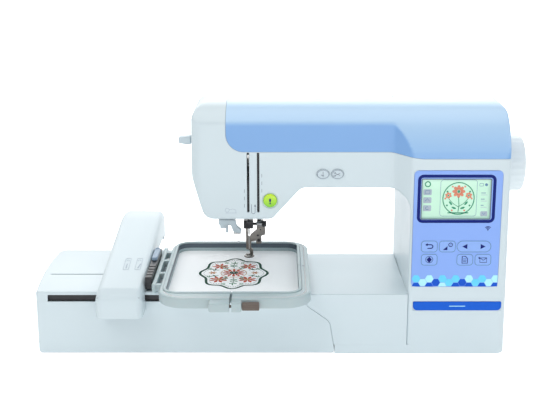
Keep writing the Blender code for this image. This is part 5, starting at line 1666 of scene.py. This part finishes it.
def switch_and_inlet():
    rocker = box("rocker", (0.245, 0.0285, 0.0532), (0.252, 0.0475, 0.0668), "black", edge=0.0009)
    ready(rocker, "switch", "black", "power_switch")
    signs = Print("switch_signs", "faint_mark", lambda along, up, out: Vector((0.252 + out, along, up)))
    signs.line([(0.032, 0.0578), (0.032, 0.0622)], 0.0005)
    signs.ring((0.0435, 0.06), (0.0021, 0.0021), 0.0005, steps=24)
    signs.done("switch", "black")
    inlet = box("socket", (0.2405, 0.0265, 0.0245), (0.249, 0.0495, 0.0415), "black", edge=0.0008)
    recess = soft_prism("recess", rectangle((0.03, 0.028), (0.046, 0.038), 0.002), 0.2425, 0.27, "X",
                        edges=(0.0003, 0.0))
    cut(inlet, recess)
    join(inlet, *[box("pin", (0.2415, along - 0.0007, 0.0315), (0.247, along + 0.0007, 0.0345), edge=0.0002)
                  for along in (0.0345, 0.0415)])
    ready(inlet, "machine", "black", "power_inlet")
    diffuser = box("lamp_lens", (-0.06, -0.04, 0.1585), (-0.03, -0.02, 0.165), "clear", edge=0.001)
    ready(diffuser, "machine", "clear", "lamp")


# ---------------------------------------------------------------- screen picture

SCREEN_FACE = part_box("lcd_module")[0].y
ICON_ACROSS = 0.1561
ICON_UP = (0.1999, 0.1909, 0.1818, 0.1727)
PICTURE = (0.1903, 0.1842)  # middle of the picture on the screen


def slim_oval(middle, out, half_length, half_width):
    """A petal or leaf that points along a direction."""
    side = Vector((-out.y, out.x))
    turns = [math.tau * step / 14 for step in range(14)]
    return [Vector(middle) + out * half_length * math.cos(t) + side * half_width * math.sin(t) for t in turns]


def screen_petals(shape, middle, count, near, far, half_width, start=0.0):
    for step in range(count):
        a = start + math.tau * step / count
        out = Vector((math.cos(a), math.sin(a)))
        shape.patch(slim_oval(middle + out * (near + far) / 2, out, (far - near) / 2, half_width))


def screen():
    """The display with four tool pictures, a flower design in a frame and a small key."""
    low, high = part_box("lcd_module")
    glass = box("display", low - DATUM, high - DATUM, "screen", edge=0.0004)
    ready(glass, "machine", "screen", "lcd_module")
    dark = Print("screen_lines", "lcd_icon", on_front(SCREEN_FACE))
    soft = Print("screen_keys", "faint_mark", on_front(SCREEN_FACE))
    leaf = Print("screen_leaves", "lcd_green", on_front(SCREEN_FACE))
    bloom = Print("screen_flowers", "lcd_coral", on_front(SCREEN_FACE))
    leaf.ring((ICON_ACROSS, ICON_UP[0]), (0.0028, 0.0028), 0.0012)
    for up in ICON_UP[1:]:
        soft.patch(rounded(about((ICON_ACROSS, up), 0.0045, 0.0033, 0.0012), 5))
    dark.at((ICON_ACROSS, ICON_UP[1]))
    dark.frame((-0.0024, -0.0018), (0.0024, 0.0018), 0.0005, 0.0004, level=INK)
    dark.at((ICON_ACROSS, ICON_UP[2]))
    dark.line([(-0.0026, -0.0012), (0, 0.0018), (0.0026, -0.0012)], 0.0005, level=INK)
    dark.at((ICON_ACROSS, ICON_UP[3]))
    dark.line(arc_points((0, 0), 0.0017, 30, 330, 16), 0.0005, level=INK)
    for shape in (dark, leaf, bloom):
        shape.at(PICTURE)
    dark.frame((-0.02, -0.0205), (0.02, 0.0205), 0.003, 0.00035)
    leaf.line([(0, -0.016), (0.0008, -0.008), (0, 0.001)], 0.0008)
    for side in (-1, 1):
        leaf.line([(0, -0.01), (side * 0.006, -0.006), (side * 0.0105, -0.001)], 0.0006)
        for place, turn in (((side * 0.0048, -0.0112), 0.35), ((side * 0.0085, -0.0058), 0.9)):
            out = Vector((side * math.cos(turn), math.sin(turn)))
            leaf.patch(slim_oval(place, out, 0.0026, 0.0011))
        screen_petals(bloom, Vector((side * 0.0112, 0.003)), 6, 0.001, 0.0038, 0.0012, side * 0.3)
        leaf.disc((side * 0.0112, 0.003), (0.0008, 0.0008))
    screen_petals(bloom, Vector((0, 0.0075)), 8, 0.0018, 0.0072, 0.0018)
    leaf.disc((0, 0.0075), (0.0016, 0.0016))
    leaf.line([(-0.0115, -0.0168), (0.0115, -0.0168)], 0.0012)
    leaf.ring((0, -0.0005), (0.0172, 0.018), 0.0011)
    for side in (-1, 1):
        for turn in range(5):
            a = math.radians(-62 + 31 * turn)
            spot = (side * 0.0145 * math.cos(a), -0.0005 + 0.0153 * math.sin(a))
            (leaf if turn % 2 else bloom).disc(spot, (0.001, 0.001))
    dark.at()
    dark.frame((0.213, 0.1978), (0.217, 0.2008), 0.0005, 0.0004)
    dark.disc((0.2203, 0.1993), (0.0016, 0.0016))
    soft.patch(rounded(rectangle((0.2151, 0.1636), (0.2227, 0.1692), 0.001), 5))
    dark.line([(0.2172, 0.1676), (0.2189, 0.1653), (0.2206, 0.1676)], 0.0005, level=INK)
    for number in range(3):
        up = 0.19 - 0.007 * number
        dark.line([(0.215, up), (0.215 + 0.0052 - 0.001 * number, up)], 0.0007)
        soft.line([(0.215, up - 0.0022), (0.2216, up - 0.0022)], 0.0005)
    for shape in (dark, soft, leaf, bloom):
        shape.done("machine", "screen")


# ---------------------------------------------------------------- pieces shown as the CAD has them

NODE_PAINT = {
    "chassis": "casting",
    "main_shaft": "turned",
    "crank_wheel": "gear",
    "lower_shaft": "turned",
    "rotary_hook": "steel",
    "hook_race": "gear",
    "bobbin_case": "black",
    "bobbin": "clear",
    "motor_pulley": "gear",
    "drive_motor": "gear",
    "timing_belt": "rubber",
    "motor_belt": "rubber",
    "connecting_rod": "steel",
    "carriage_base": "inner",
    "x_rail": "turned",
}


def inner_pieces():
    """The mechanism inside keeps its CAD shapes, with softened edges and its own materials."""
    for name, paint in NODE_PAINT.items():
        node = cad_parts[name]
        node.data.materials.clear()
        node.data.materials.append(PAINT[paint])
        edge = node.modifiers.new("soft_edges", "BEVEL")
        edge.width = 0.00025
        edge.segments = 2
        edge.limit_method = "ANGLE"
        edge.angle_limit = math.radians(50)
        edge.use_clamp_overlap = True
        node.data.shade_smooth()
        node.data.set_sharp_from_angle(angle=math.radians(35))


# ---------------------------------------------------------------- stage and camera

def lamp(name, place, target, size, power, colour):
    light = bpy.data.lights.new(name, "AREA")
    light.shape = "RECTANGLE"
    light.size, light.size_y = size
    light.energy = power
    light.color = colour
    obj = bpy.data.objects.new(name, light)
    scene.collection.objects.link(obj)
    obj.location = place
    obj.rotation_euler = (Vector(target) - Vector(place)).to_track_quat("-Z", "Y").to_euler()


LIGHTS = (  # name, place, aim, size, power in watts and colour
    ("key", (-1.1, -1.5, 1.9), (0, 0, 0.1), (1.4, 1.4), 12.5, (1.0, 0.985, 0.96)),
    ("fill", (1.5, -1.3, 1.2), (0, 0, 0.12), (1.4, 1.6), 6.2, (0.95, 0.98, 1.0)),
    ("top", (0.0, 0.2, 2.0), (0, 0, 0.1), (1.8, 1.4), 13.0, (1.0, 1.0, 1.0)),
    ("behind", (0.1, 1.3, 0.9), (0, 0, 0.08), (2.2, 1.0), 7.0, (1.0, 1.0, 1.0)),
    ("low", (0.2, -1.7, 0.12), (0.1, 0, 0.06), (1.6, 0.2), 3.0, (1.0, 1.0, 1.0)),
)
GLOW_ON_OBJECT = 0.28
GLOW_TO_CAMERA = 0.75
WORLD_STRENGTH = 0.44
CAMERA_PLACE = (-0.0015, -1.2174, 0.4755)
CAMERA_TILT = 75  # degrees; 90 looks level
SENSOR_MM = 36.0
LENS_MM = 68.66


def stage():
    """Pale floor that curves up behind, soft studio lights and a pale world."""
    profile = [(-2.5, 0.0), (1.2, 0.0)]
    profile += [(1.2 + 0.6 * math.sin(a), 0.6 * (1 - math.cos(a)))
                for a in (math.pi / 2 * step / 12 for step in range(1, 13))]
    profile.append((1.8, 2.4))
    bm = bmesh.new()
    rows = [[bm.verts.new((across, along, up)) for across in (-3.0, 3.0)] for along, up in profile]
    for one, two in zip(rows, rows[1:]):
        bm.faces.new((one[0], one[1], two[1], two[0]))
    paper = Nodes("floor")
    glow = paper.add("MapRange")  # the paper glows to the camera more than to the object
    feed(glow, To_Min=GLOW_ON_OBJECT, To_Max=GLOW_TO_CAMERA)
    paper.link(paper.add("LightPath").outputs["Is Camera Ray"], glow.inputs["Value"])
    paper.link(glow.outputs["Result"], paper.shader.inputs["Emission Strength"])
    floor = link_mesh("floor", bm)
    floor.data.materials.append(paper.finish(
        Roughness=0.9, Base_Color=(0.95, 0.95, 0.95, 1), Emission_Color=(1.0, 1.0, 1.0, 1)))
    floor.data.shade_smooth()
    for light in LIGHTS:
        lamp(*light)
    world = bpy.data.worlds.new("studio")
    world.use_nodes = True
    feed(world.node_tree.nodes["Background"], Color=(0.93, 0.97, 1.0, 1.0), Strength=WORLD_STRENGTH)
    scene.world = world
    scene.view_settings.view_transform = "Standard"


def camera():
    """Stands in front of the machine, a little above it, and looks down by 15 degrees."""
    made = bpy.data.cameras.new("camera")
    made.sensor_width = SENSOR_MM
    made.lens = LENS_MM
    obj = bpy.data.objects.new("camera", made)
    scene.collection.objects.link(obj)
    obj.location = CAMERA_PLACE
    obj.rotation_euler = (math.radians(CAMERA_TILT), 0, 0)
    scene.camera = obj


# ---------------------------------------------------------------- the whole

camera()
stage()
casing()
panel_plate()
frame_and_bezel()
key_print()
key_marks()
hexagon_band()
badge()
buttons()
slot_liners()
head_print()
bed()
base()
embroidery_unit()
carriage()
holder()
inner_ring()
outer_ring()
clamp_screw()
fabric()
needle_group()
presser_group()
threader_group()
needle_plate()
take_up_lever()
handwheel()
handle()
spool_and_winder()
switch_and_inlet()
screen()
inner_pieces()
